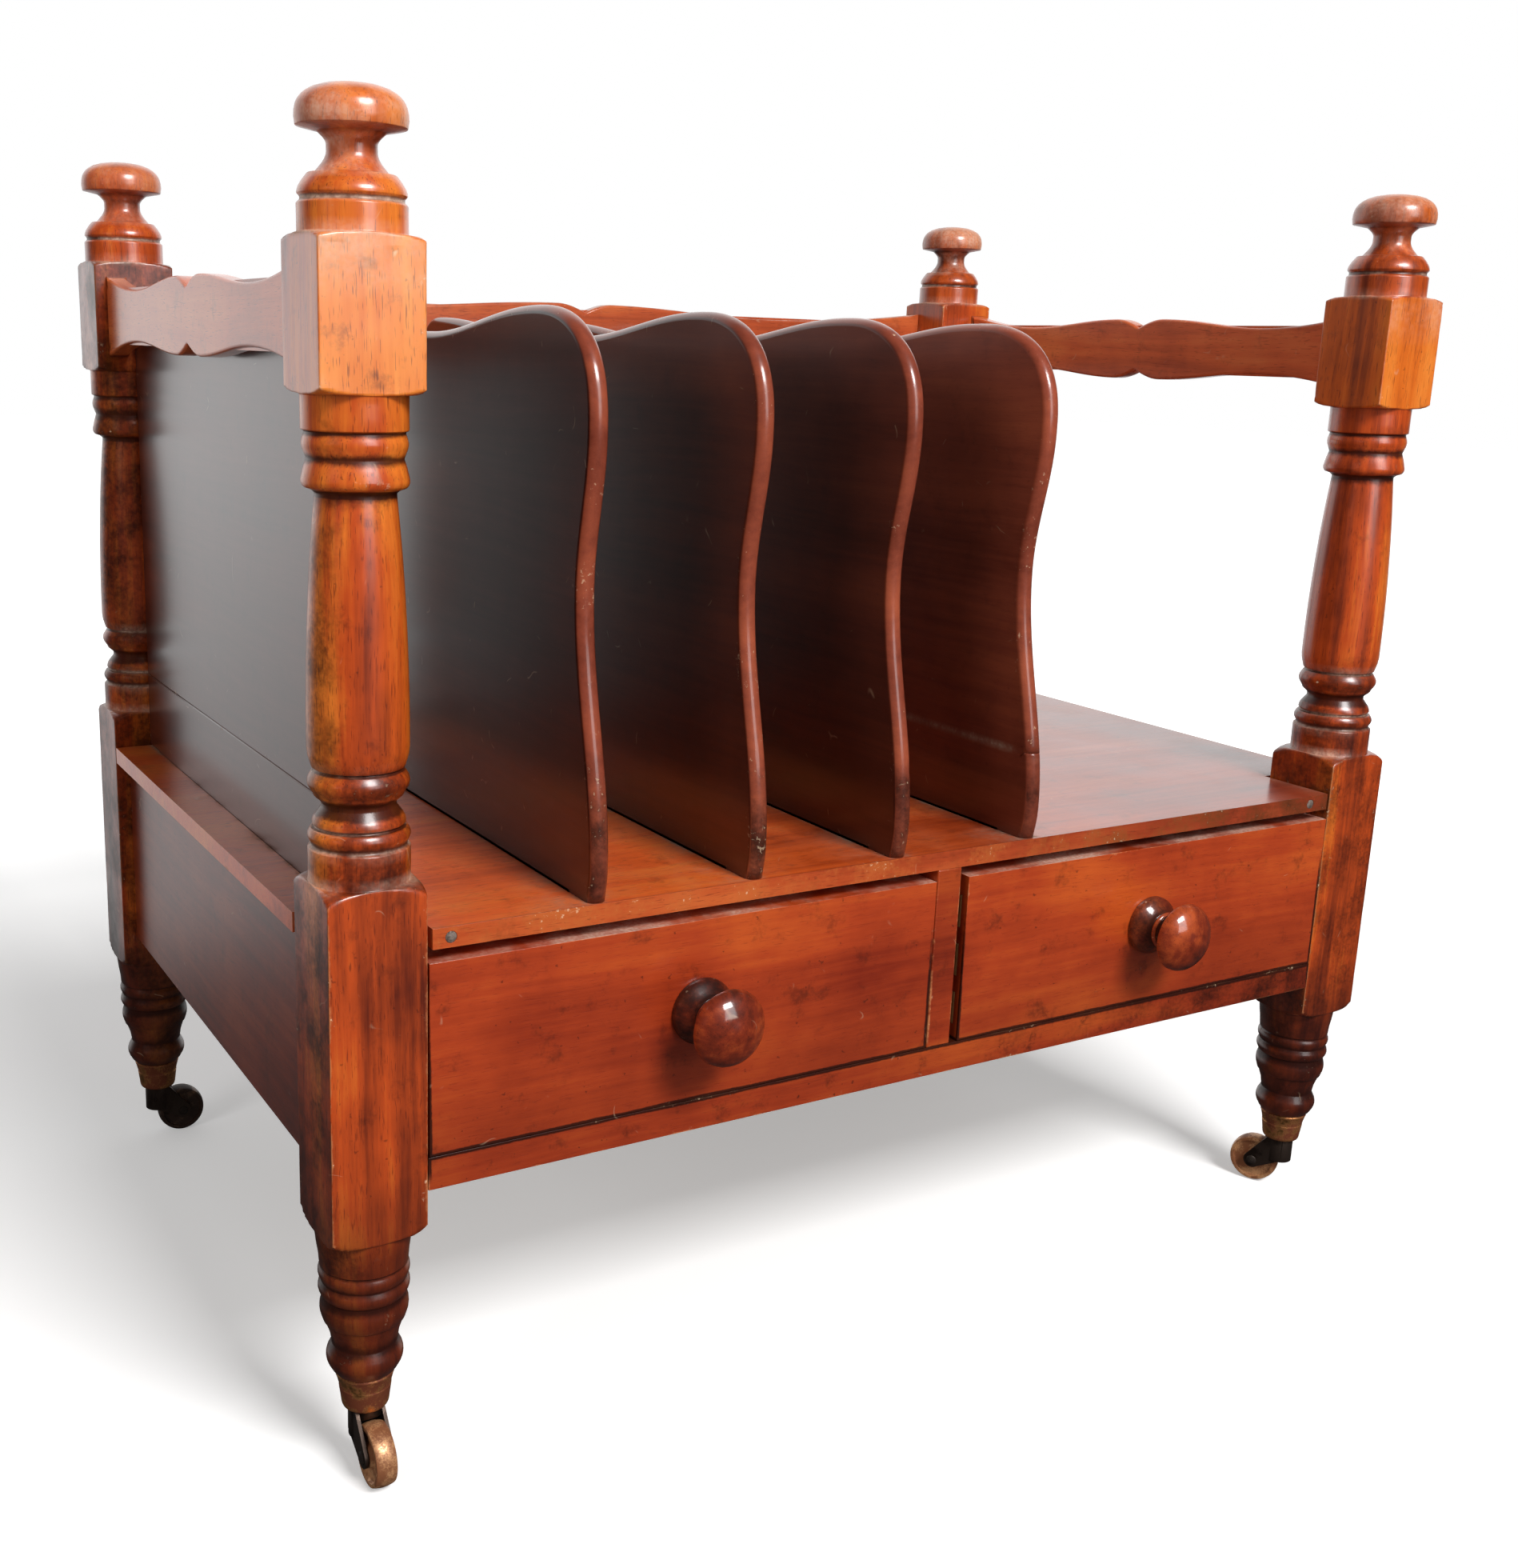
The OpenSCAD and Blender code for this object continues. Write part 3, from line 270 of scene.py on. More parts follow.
class Effects:
    """The shader groups that several finishes share."""

    def __init__(self) -> None:
        """Builds each group once."""
        self.grain = self.grain_group()
        self.wear = self.wear_group()
        self.dust = self.dust_group()
        self.scuffs = self.scuffs_group()

    def worn(self, wiring: Wiring, place: Socket, amount: float) -> bpy.types.Node:
        """Places the wear group in a material, fed by the mesh's own attributes.

        Args:
            wiring: the material's wiring.
            place: the place on the object.
            amount: how worn the arrises are.

        Returns:
            The group's node.
        """
        inputs = {name.title(): wiring.named(name) for name in ("arris", "hollow", "dent")}
        inputs |= {"Vector": place, "Wear": amount}
        return wiring.node("ShaderNodeGroup", inputs, node_tree=self.wear)

    @staticmethod
    def grain_group() -> bpy.types.NodeTree:
        """Wood grain along X: broad figure, fine streaks and short dark pores.

        Returns:
            The group.
        """
        wiring, given, out = new_tree(
            "ShaderNodeTree", "Wood grain", {"Vector": "Vector", "Figure": "Float", "Fibre": "Float"},
            {"Figure": "Float", "Streaks": "Float", "Pores": "Float"})
        stretched = wiring.vector("MULTIPLY", given["Vector"], (5.0, 16.0, 16.0))
        drift = wiring.node("ShaderNodeTexNoise", {"Vector": stretched, "Scale": 1.0, "Detail": 2.0})
        bend = wiring.vector("SUBTRACT", drift.outputs["Color"], (0.5, 0.5, 0.5))
        bend = wiring.vector("MULTIPLY", bend, (0.0, 0.014, 0.014))
        place = wiring.vector("ADD", given["Vector"], bend)
        bands = wiring.vector("MULTIPLY", place, (2.5, 34.0, 34.0))
        threads = wiring.vector("MULTIPLY", place, (11.0, 260.0, 260.0))
        dashes = wiring.vector("MULTIPLY", place, (150.0, 2100.0, 2100.0))
        wiring.put(out.inputs["Figure"], wiring.noise(bands, given["Figure"], 3.0, 0.5))
        wiring.put(out.inputs["Streaks"], wiring.noise(threads, given["Fibre"], 3.0, 0.62))
        pores = wiring.noise(dashes, given["Fibre"], 1.0, 0.5)
        wiring.put(out.inputs["Pores"], wiring.span(pores, 0.6, 0.72))
        return wiring.tree

    @staticmethod
    def wear_group() -> bpy.types.NodeTree:
        """Rubbed arrises, grimy hollows and painted shade, from the attributes that the meshes carry.

        Returns:
            The group.
        """
        wiring, given, out = new_tree(
            "ShaderNodeTree", "Handling wear",
            {"Vector": "Vector", "Arris": "Float", "Hollow": "Float", "Dent": "Float", "Wear": "Float"},
            {"Worn": "Float", "DirtAndShade": "Float", "Chips": "Float"})
        coarse = wiring.minus(wiring.noise(given["Vector"], 55.0, 4.0, 0.6), 0.5)
        fine = wiring.minus(wiring.noise(given["Vector"], 480.0, 3.0, 0.65), 0.5)
        rubbed = wiring.times(given["Arris"], given["Wear"])
        rubbed = wiring.times_plus(coarse, 1.1, rubbed)
        rubbed = wiring.times_plus(fine, 0.5, rubbed)
        wiring.put(out.inputs["Worn"], wiring.times(wiring.span(rubbed, 0.5, 0.85), given["Arris"]))
        nicked = wiring.times_plus(fine, 2.2, wiring.times(coarse, 1.6))
        nicked = wiring.times(wiring.span(nicked, 0.42, 0.6), given["Arris"])
        wiring.put(out.inputs["Chips"], wiring.most(nicked, wiring.span(given["Dent"], 0.5, 0.9)))
        # the hollow attribute holds the grimy grooves and, on some pieces, painted shade; both darken the
        # wood alike
        darkened = wiring.times_plus(coarse, 0.7, given["Hollow"])
        darkened = wiring.times_plus(fine, 0.3, darkened)
        wiring.put(out.inputs["DirtAndShade"], wiring.span(darkened, 0.12, 0.55))
        return wiring.tree

    @staticmethod
    def dust_group() -> bpy.types.NodeTree:
        """Dust that lies on faces that look up, and gathers where the near mask says; on the posts the near
        mask also lays painted sheen and highlights in the dust's colour.

        Returns:
            The group.
        """
        wiring, given, out = new_tree(
            "ShaderNodeTree", "Settled dust",
            {"Vector": "Vector", "Normal": "Vector", "Near": "Float", "Amount": "Float"}, {"Dust": "Float"})
        upward = wiring.span(wiring.axis(given["Normal"], "Z"), 0.6, 0.97)
        cloud = wiring.span(wiring.noise(given["Vector"], 26.0, 5.0, 0.65), 0.36, 0.66)
        grit = wiring.span(wiring.noise(given["Vector"], 650.0, 2.0), 0.3, 0.7, 0.55, 1.1)
        lying = wiring.times(upward, given["Amount"])
        both = wiring.times(wiring.most(lying, given["Near"]), cloud)
        wiring.put(out.inputs["Dust"], wiring.times(both, grit))
        return wiring.tree

    @staticmethod
    def scuffs_group() -> bpy.types.NodeTree:
        """Hair scratches, dark bruises and a slow unevenness of the polish.

        Returns:
            The group.
        """
        wiring, given, out = new_tree(
            "ShaderNodeTree", "Scuffs", {"Vector": "Vector"},
            {"Scratches": "Float", "Bruises": "Float", "Patches": "Float"})
        level = wiring.math("ABSOLUTE", wiring.minus(wiring.noise(given["Vector"], 34.0, 1.5), 0.5))
        line = wiring.span(level, 0.0, 0.007, 1.0, 0.0)
        place = wiring.span(wiring.noise(given["Vector"], 90.0, 2.0), 0.62, 0.7)
        wiring.put(out.inputs["Scratches"], wiring.times(line, place))
        bruise = wiring.span(wiring.noise(given["Vector"], 60.0, 5.0, 0.72), 0.54, 0.74)
        speck = wiring.span(wiring.noise(given["Vector"], 330.0, 2.0, 0.6), 0.7, 0.76)
        wiring.put(out.inputs["Bruises"], wiring.most(bruise, speck))
        wiring.put(out.inputs["Patches"], wiring.noise(given["Vector"], 13.0, 4.0, 0.6))
        return wiring.tree


@dataclass(frozen=True)
class WoodFinish:
    """Polished or bare wood: the colours of its figure, its painted light and shade, and how worn, grimy and
    glossy it is.
    """

    slot: str
    grain: Grain
    deep: str
    body: str
    bright: str
    worn: str = "#d58a58"
    # the colour of grimy wood, which also paints shade
    dirt_and_shade: str = "#180c09"
    dust: str = "#8d7564"
    chip: str = "#e6c3a0"
    figure: float = 1.0
    fibre: float = 1.0
    pores: float = 0.55
    wear: float = 0.75
    # how strongly the grimy hollows and the painted shade darken the wood
    grime_and_shade: float = 0.9
    dusting: float = 0.25
    roughness: float = 0.42
    coat: float = 1.0
    coat_roughness: float = 0.16
    coat_ior: float = 1.55
    relief: float = 0.35
    specular: float = 0.2
    nicks: float = 0.85
    bruises: float = 0.35
    # painted light: the paler colours that the pale attribute mixes in
    painted_light: tuple[str, str, str] = ()
    # darker towards the floor: the heights over which the darkening fades out, and how dark it gets
    floor_darkening_z: tuple[float, float] = (0.0, 0.0)
    floor_darkening: float = 0.72
    contrast: float = 1.0

    def figured(self, wiring: Wiring, depth: Socket, height: Socket) -> Socket:
        """Colours the figure, with light painted in where the mesh's pale attribute says, and darker towards
        the floor.

        Args:
            wiring: the material's wiring.
            depth: the figure, about 0.5 on average.
            height: the height above the floor.

        Returns:
            The colour.
        """
        shade = wiring.ramp(depth, ((0.15, self.deep), (0.5, self.body), (0.85, self.bright)))
        # painted light: a paler ramp, mixed in where the pale attribute says
        if self.painted_light:
            pale = wiring.ramp(depth, tuple(zip((0.1, 0.45, 0.85), self.painted_light)))
            shade = wiring.mix(wiring.named("pale"), shade, pale)
        # darker towards the floor
        if self.floor_darkening_z[1]:
            floor_darkening = wiring.span(height, *self.floor_darkening_z, self.floor_darkening, 0.0)
            shade = wiring.mix(floor_darkening, shade, linear(self.dirt_and_shade))
        return shade

    def build(self, effects: Effects) -> bpy.types.Material:
        """Makes the finish's material.

        Args:
            effects: the shared shader groups.

        Returns:
            The material, named after its slot.
        """
        material, wiring, surface = new_material(self.slot)
        given = wiring.node("ShaderNodeTexCoord")
        place = given.outputs["Object"]
        along = wiring.node("ShaderNodeMapping", {"Vector": place, "Rotation": self.grain.value}).outputs[0]
        grain = wiring.node("ShaderNodeGroup", {"Vector": along, "Figure": self.figure, "Fibre": self.fibre},
                            node_tree=effects.grain)
        wear = effects.worn(wiring, place, self.wear)
        dusty = {"Vector": place, "Normal": given.outputs["Normal"], "Near": wiring.named("near"),
                 "Amount": self.dusting}
        dust = wiring.node("ShaderNodeGroup", dusty, node_tree=effects.dust).outputs[0]
        scuffs = wiring.node("ShaderNodeGroup", {"Vector": place}, node_tree=effects.scuffs)

        depth = wiring.times_plus(scuffs.outputs["Patches"], 0.9, 0.05)
        for label, share in (("Figure", self.contrast), ("Streaks", 0.5 * self.contrast)):
            offset = wiring.minus(grain.outputs[label], 0.5)
            depth = wiring.times_plus(offset, share, depth)
        shade = self.figured(wiring, depth, wiring.axis(place, "Z"))
        for mask, share, code in (
                (grain.outputs["Pores"], self.pores, self.deep),
                (scuffs.outputs["Bruises"], self.bruises, self.dirt_and_shade),
                (wear.outputs["Worn"], 0.8, self.worn),
                # grimy hollows, and the painted shade that the hollow attribute carries
                (wear.outputs["DirtAndShade"], self.grime_and_shade, self.dirt_and_shade),
                (scuffs.outputs["Scratches"], 0.2, self.chip),
                (wear.outputs["Chips"], self.nicks, self.chip)):
            shade = wiring.mix(wiring.times(mask, share), shade, linear(code))
        # the dust mix also lays the posts' painted sheen
        wiring.put(surface.inputs["Base Color"], wiring.mix(dust, shade, linear(self.dust)))

        rough = wiring.times_plus(dust, 0.35, self.roughness)
        rough = wiring.times_plus(wear.outputs["Worn"], 0.12, rough)
        bare = wiring.most(dust, wear.outputs["Chips"])
        bare = wiring.most(bare, wiring.times(wear.outputs["DirtAndShade"], 0.6))
        coat = wiring.times(wiring.minus(1.0, bare), self.coat)
        for label, value in (
                ("Roughness", rough),
                ("Coat Weight", coat),
                ("Coat Roughness", self.coat_roughness),
                ("Coat IOR", self.coat_ior),
                ("Specular IOR Level", self.specular)):
            wiring.put(surface.inputs[label], value)

        height = wiring.times_plus(grain.outputs["Pores"], -0.8, grain.outputs["Streaks"])
        height = wiring.times_plus(scuffs.outputs["Patches"], 4.0, height)
        height = wiring.times_plus(wear.outputs["Chips"], -1.5, height)
        bump = wiring.node("ShaderNodeBump", {"Strength": self.relief, "Distance": 0.0003, "Height": height})
        wiring.put(surface.inputs["Normal"], bump.outputs[0])
        return material


@dataclass(frozen=True)
class MetalFinish:
    """Tarnished metal: bright metal, its tarnish, and how much of it the tarnish covers."""

    slot: str
    bright: str
    tarnish: str
    cover: float
    roughness: float = 0.34
    metallic: float = 1.0

    def build(self, effects: Effects) -> bpy.types.Material:
        """Makes the finish's material.

        Args:
            effects: the shared shader groups.

        Returns:
            The material, named after its slot.
        """
        material, wiring, surface = new_material(self.slot)
        place = wiring.node("ShaderNodeTexCoord").outputs["Object"]
        wear = effects.worn(wiring, place, 1.0)
        blotches = wiring.noise(place, 130.0, 4.0, 0.6)
        grit = wiring.noise(place, 1400.0, 3.0, 0.6)
        tarnished = wiring.times_plus(wiring.minus(grit, 0.5), 0.35, blotches)
        tarnished = wiring.span(tarnished, 0.75 - self.cover, 1.0 - self.cover)
        tarnished = wiring.most(tarnished, wear.outputs["DirtAndShade"])
        tarnished = wiring.minus(tarnished, wiring.times(wear.outputs["Worn"], 0.7))
        tarnished = wiring.most(tarnished, 0.0)
        colour = wiring.mix(tarnished, linear(self.bright), linear(self.tarnish))
        metallic = wiring.times_plus(tarnished, -0.6 * self.metallic, self.metallic)
        rough = wiring.times_plus(tarnished, 0.25, self.roughness)
        for label, value in (("Base Color", colour), ("Metallic", metallic), ("Roughness", rough)):
            wiring.put(surface.inputs[label], value)
        height = wiring.times_plus(grit, 0.5, blotches)
        bump = wiring.node("ShaderNodeBump", {"Strength": 0.25, "Distance": 0.0003, "Height": height})
        wiring.put(surface.inputs["Normal"], bump.outputs[0])
        return material


FINISHES = (
    # the paler ramp paints light on the posts, partly sun-fading on the front blocks; the feet are darker
    # towards the floor
    WoodFinish("post_mahogany", Grain.UPRIGHT, "#5c1c0a", "#bd4813", "#ea7e26", dirt_and_shade="#2a0e08",
               dust="#d9b39c", pores=0.6, dusting=0.1, coat_roughness=0.24, coat_ior=1.7, relief=0.2,
               bruises=0.45, painted_light=("#8c380e", "#d66818", "#f09038"),
               floor_darkening_z=(0.085, 0.15), floor_darkening=0.73, contrast=1.35),
    # its colours are raised to paint light on the rails, mainly the right rail's inner face
    WoodFinish("rail_mahogany", Grain.ALONG_Y, "#963a1c", "#d86434", "#f2864a", dusting=0.2,
               coat_roughness=0.2, relief=0.15, nicks=0.4),
    # its heavy pale dust also paints the sheen of reflected light on the rail
    WoodFinish("back_rail_mahogany", Grain.ALONG_X, "#7a2e16", "#b85028", "#d8703a", dust="#d2bcae",
               dusting=0.75, nicks=0.4),
    WoodFinish("apron_mahogany", Grain.ALONG_Y, "#521d10", "#80301a", "#a04a26", dusting=0.1,
               coat_roughness=0.24, wear=0.4, relief=0.15),
    WoodFinish("back_apron_mahogany", Grain.ALONG_X, "#521d10", "#80301a", "#a04a26", dusting=0.1, wear=0.4),
    WoodFinish("front_mahogany", Grain.ALONG_X, "#761e0b", "#ac3d17", "#ce5c20", dust="#cfb4a2", pores=0.3,
               dusting=0.85, wear=0.5, coat_roughness=0.22, relief=0.2, nicks=0.2, bruises=0.5,
               floor_darkening_z=(0.13, 0.185), floor_darkening=0.26, contrast=0.75),
    WoodFinish("front_bar_mahogany", Grain.ALONG_X, "#681a0a", "#983414", "#b8501c", pores=0.3, dusting=0.0,
               wear=0.6, coat_roughness=0.22, relief=0.2, nicks=0.5, bruises=0.6),
    # dark wood whose colours also paint the shade inside the bays; its paler ramp paints light on the edges
    # and the right-hand faces
    WoodFinish("divider_mahogany", Grain.ALONG_Y, "#260d08", "#3b160e", "#4e2013", worn="#b05a34", pores=0.15,
               wear=0.5, dusting=0.1, coat_roughness=0.18, coat_ior=1.5, relief=0.06, nicks=0.6, bruises=0.2,
               painted_light=("#6a2a1a", "#964630", "#b85c3c")),
    WoodFinish("panel_mahogany", Grain.ALONG_Y, "#35160f", "#4f231a", "#622e22", worn="#7c4a38", pores=0.2,
               wear=0.4, dusting=0.15, coat_roughness=0.2, relief=0.06, nicks=0.4),
    # the paler ramp paints light on the deck's left part
    WoodFinish("deck_mahogany", Grain.ALONG_X, "#6e2410", "#9c3c1e", "#b8562e", worn="#c0622a", dusting=0.12,
               wear=0.6, coat_roughness=0.2, relief=0.15, nicks=0.5,
               painted_light=("#a8380e", "#e86020", "#fa8632")),
    WoodFinish("knob_mahogany", Grain.ALONG_Y, "#3c140b", "#7c2a13", "#b24c20", worn="#9a4626", wear=0.3,
               dusting=0.05, coat_roughness=0.12, coat_ior=1.65, relief=0.1, nicks=0.5, contrast=1.6),
    WoodFinish("drawer_oak", Grain.ALONG_Y, "#7d5a36", "#a17a4c", "#b8915f", worn="#b08a5a", pores=0.5,
               dusting=0.2, coat=0.0, roughness=0.7, grime_and_shade=0.6),
    WoodFinish("carcase_pine", Grain.ALONG_Y, "#8a6238", "#ad8450", "#c49a64", worn="#b98f5c", pores=0.25,
               dusting=0.25, coat=0.0, roughness=0.75, grime_and_shade=0.6),
    MetalFinish("caster_brass", "#dc9a5e", "#7c4028", 0.42),
    MetalFinish("wheel_brass", "#dca474", "#8c5636", 0.4, roughness=0.3, metallic=0.4),
    # painted shade: a darker copy of the wheel brass for the back wheels
    MetalFinish("shaded_wheel_brass", "#6e5340", "#33221a", 0.5, roughness=0.4, metallic=0.5),
    MetalFinish("fork_brass", "#54463e", "#261a15", 0.5, roughness=0.45),
    MetalFinish("axle_iron", "#5c534c", "#2a201b", 0.5, roughness=0.5),
    MetalFinish("nail_iron", "#9a8a80", "#52433b", 0.4, roughness=0.5, metallic=0.5),
)


@dataclass(frozen=True)
class Cut:
    """How finely an outline is turned: its softening, its spacings, and how rubbed its crests are."""

    softness: float = 0.00024
    fine: float = 0.0003
    coarse: float = 0.004
    rub: float = 0.5


@dataclass(frozen=True)
class Dents:
    """A piece's dents: how many on a square metre, how wide and deep, and how uneven the surface is."""

    density: float
    radius: float
    depth: float
    uneven: float = 0.0


class Outline:
    """The outline of a turned piece, as radius and height, from the bottom up."""

    CURVE_STEPS = 16
    SWELL_POWER = 2.1
    WEAR_REACH = 0.0028
    HOLLOW_DEPTH = 0.0011
    RING_BEND = 0.1

    def __init__(self, radius: float, height: float, reach: float = math.inf) -> None:
        """Starts the outline at a point; what stands out past the reach wears as if level with it."""
        self.reach = reach
        self.points: list[Point] = [(radius, height)]
        self.blocks: list[Point] = []

    @property
    def height(self) -> float:
        """The height that the outline has reached."""
        return self.points[-1][1]

    def to(self, radius: float, rise: float = 0.0) -> "Outline":
        """Runs straight to a radius, rise higher up, and returns the outline."""
        self.points.append((radius, self.height + rise))
        return self

    def curve(self, rise: float, radius_at: Callable[[float], float],
              height_at: Callable[[float], float] = lambda t: t) -> "Outline":
        """Adds a curve.

        Args:
            rise: the height of the whole curve.
            radius_at: the radius for each share of the way, from 0 to 1.
            height_at: the share of the rise for each share of the way.

        Returns:
            The outline.
        """
        base = self.height
        for step in range(self.CURVE_STEPS + 1):
            share = step / self.CURVE_STEPS
            self.points.append((radius_at(share), base + rise * height_at(share)))
        return self

    def bead(self, radius: float, out: float, rise: float) -> "Outline":
        """Adds a rounded ring that stands out of the radius."""
        return self.curve(rise, lambda t: radius + out * math.sin(math.pi * t))

    def slope(self, first: float, last: float, rise: float) -> "Outline":
        """Adds an S-shaped run from one radius to another."""
        return self.curve(rise, lambda t: ease(first, last, t))

    def hollow(self, first: float, last: float, rise: float) -> "Outline":
        """Adds a hollow that starts flat and ends upright."""
        return self.curve(rise, lambda t: first - (first - last) * sine(t))

    def flare(self, first: float, last: float, rise: float) -> "Outline":
        """Adds a flare that starts upright and ends flat."""
        return self.curve(rise, lambda t: last - (last - first) * cosine(t))

    def bell(self, first: float, last: float, rise: float) -> "Outline":
        """Adds a rounded run that starts upright and ends flat."""
        return self.curve(rise, lambda t: last + (first - last) * cosine(t))

    def ovolo(self, first: float, last: float, out: float, rise: float) -> "Outline":
        """Adds a moulding that is fullest low down, between two radii."""
        return self.curve(rise, lambda t: first + (last - first) * t + out * math.sin(math.pi * math.sqrt(t)))

    def swelling(self, first: float, last: float, rise: float) -> "Outline":
        """Adds a long taper that starts upright."""
        return self.curve(rise, lambda t: first - (first - last) * t ** self.SWELL_POWER)

    def dome(self, radius: float, rise: float, power: float) -> "Outline":
        """Adds a dome that closes on the axis."""
        return self.curve(rise, lambda t: radius * max(0.0, 1 - sine(t) ** power) ** (1 / power), sine)

    def block(self, collar: float, corner: float, shoulder: float, rise: float) -> "Outline":
        """Adds a square block's turned shoulders, wider than its corners between them."""
        base = self.height
        self.curve(shoulder, lambda t: collar + (corner - collar) * sine(t), lambda t: 1 - cosine(t))
        self.to(corner, rise - 2 * shoulder)
        self.curve(shoulder, lambda t: collar + (corner - collar) * cosine(t), sine)
        self.blocks.append((base, base + rise))
        return self

    def rings(self, cut: Cut) -> np.ndarray:
        """Softens the outline as wear does and picks the rings that its shape needs.

        Args:
            cut: how finely the outline is followed and how far it is softened.

        Returns:
            One row for each ring: radius, height, how deep in a hollow it lies, and 1 inside a block.
        """
        line = np.array(self.points)
        run = np.concatenate([[0.0], np.cumsum(np.linalg.norm(np.diff(line, axis=0), axis=1))])
        count = max(8, round(run[-1] / cut.fine))
        at = np.linspace(0.0, run[-1], count + 1)
        dense = np.stack([np.interp(at, run, line[:, k]) for k in (0, 1)], axis=1)
        soft = self.smoothed(dense, cut.softness / cut.fine)
        level = np.column_stack([np.minimum(dense[:, 0], self.reach), dense[:, 1]])
        wide = self.smoothed(level, self.WEAR_REACH / cut.fine)
        hollow = np.clip((wide[:, 0] - np.minimum(soft[:, 0], self.reach)) / self.HOLLOW_DEPTH, -1.0, 1.0)
        kept = [0]
        for i in range(1, count):
            step = soft[i] - soft[kept[-1]]
            ahead = soft[i + 1] - soft[i]
            bend = abs(step[0] * ahead[1] - step[1] * ahead[0]) / (np.hypot(*step) * np.hypot(*ahead) + 1e-15)
            if np.hypot(*step) >= cut.coarse or bend > self.RING_BEND:
                kept.append(i)
        kept.append(count)
        inside = [float(any(low <= soft[i, 1] <= high for low, high in self.blocks)) for i in kept]
        return np.column_stack([soft[kept], hollow[kept], inside])

    @staticmethod
    def smoothed(line: np.ndarray, reach: float) -> np.ndarray:
        """Returns the line blurred over reach points each way, its ends held."""
        half = max(1, math.ceil(3 * reach))
        weights = np.exp(-0.5 * (np.arange(-half, half + 1) / max(reach, 1e-6)) ** 2)
        weights /= weights.sum()
        blurred = line.copy()
        for k in (0, 1):
            ends = np.concatenate([2 * line[0, k] - line[half:0:-1, k], line[:, k],
                                   2 * line[-1, k] - line[-2:-half - 2:-1, k]])
            blurred[:, k] = np.convolve(ends, weights, mode="valid")
        blurred[:, 0] = np.maximum(blurred[:, 0], 0.0)
        blurred[0], blurred[-1] = line[0], line[-1]
        return blurred


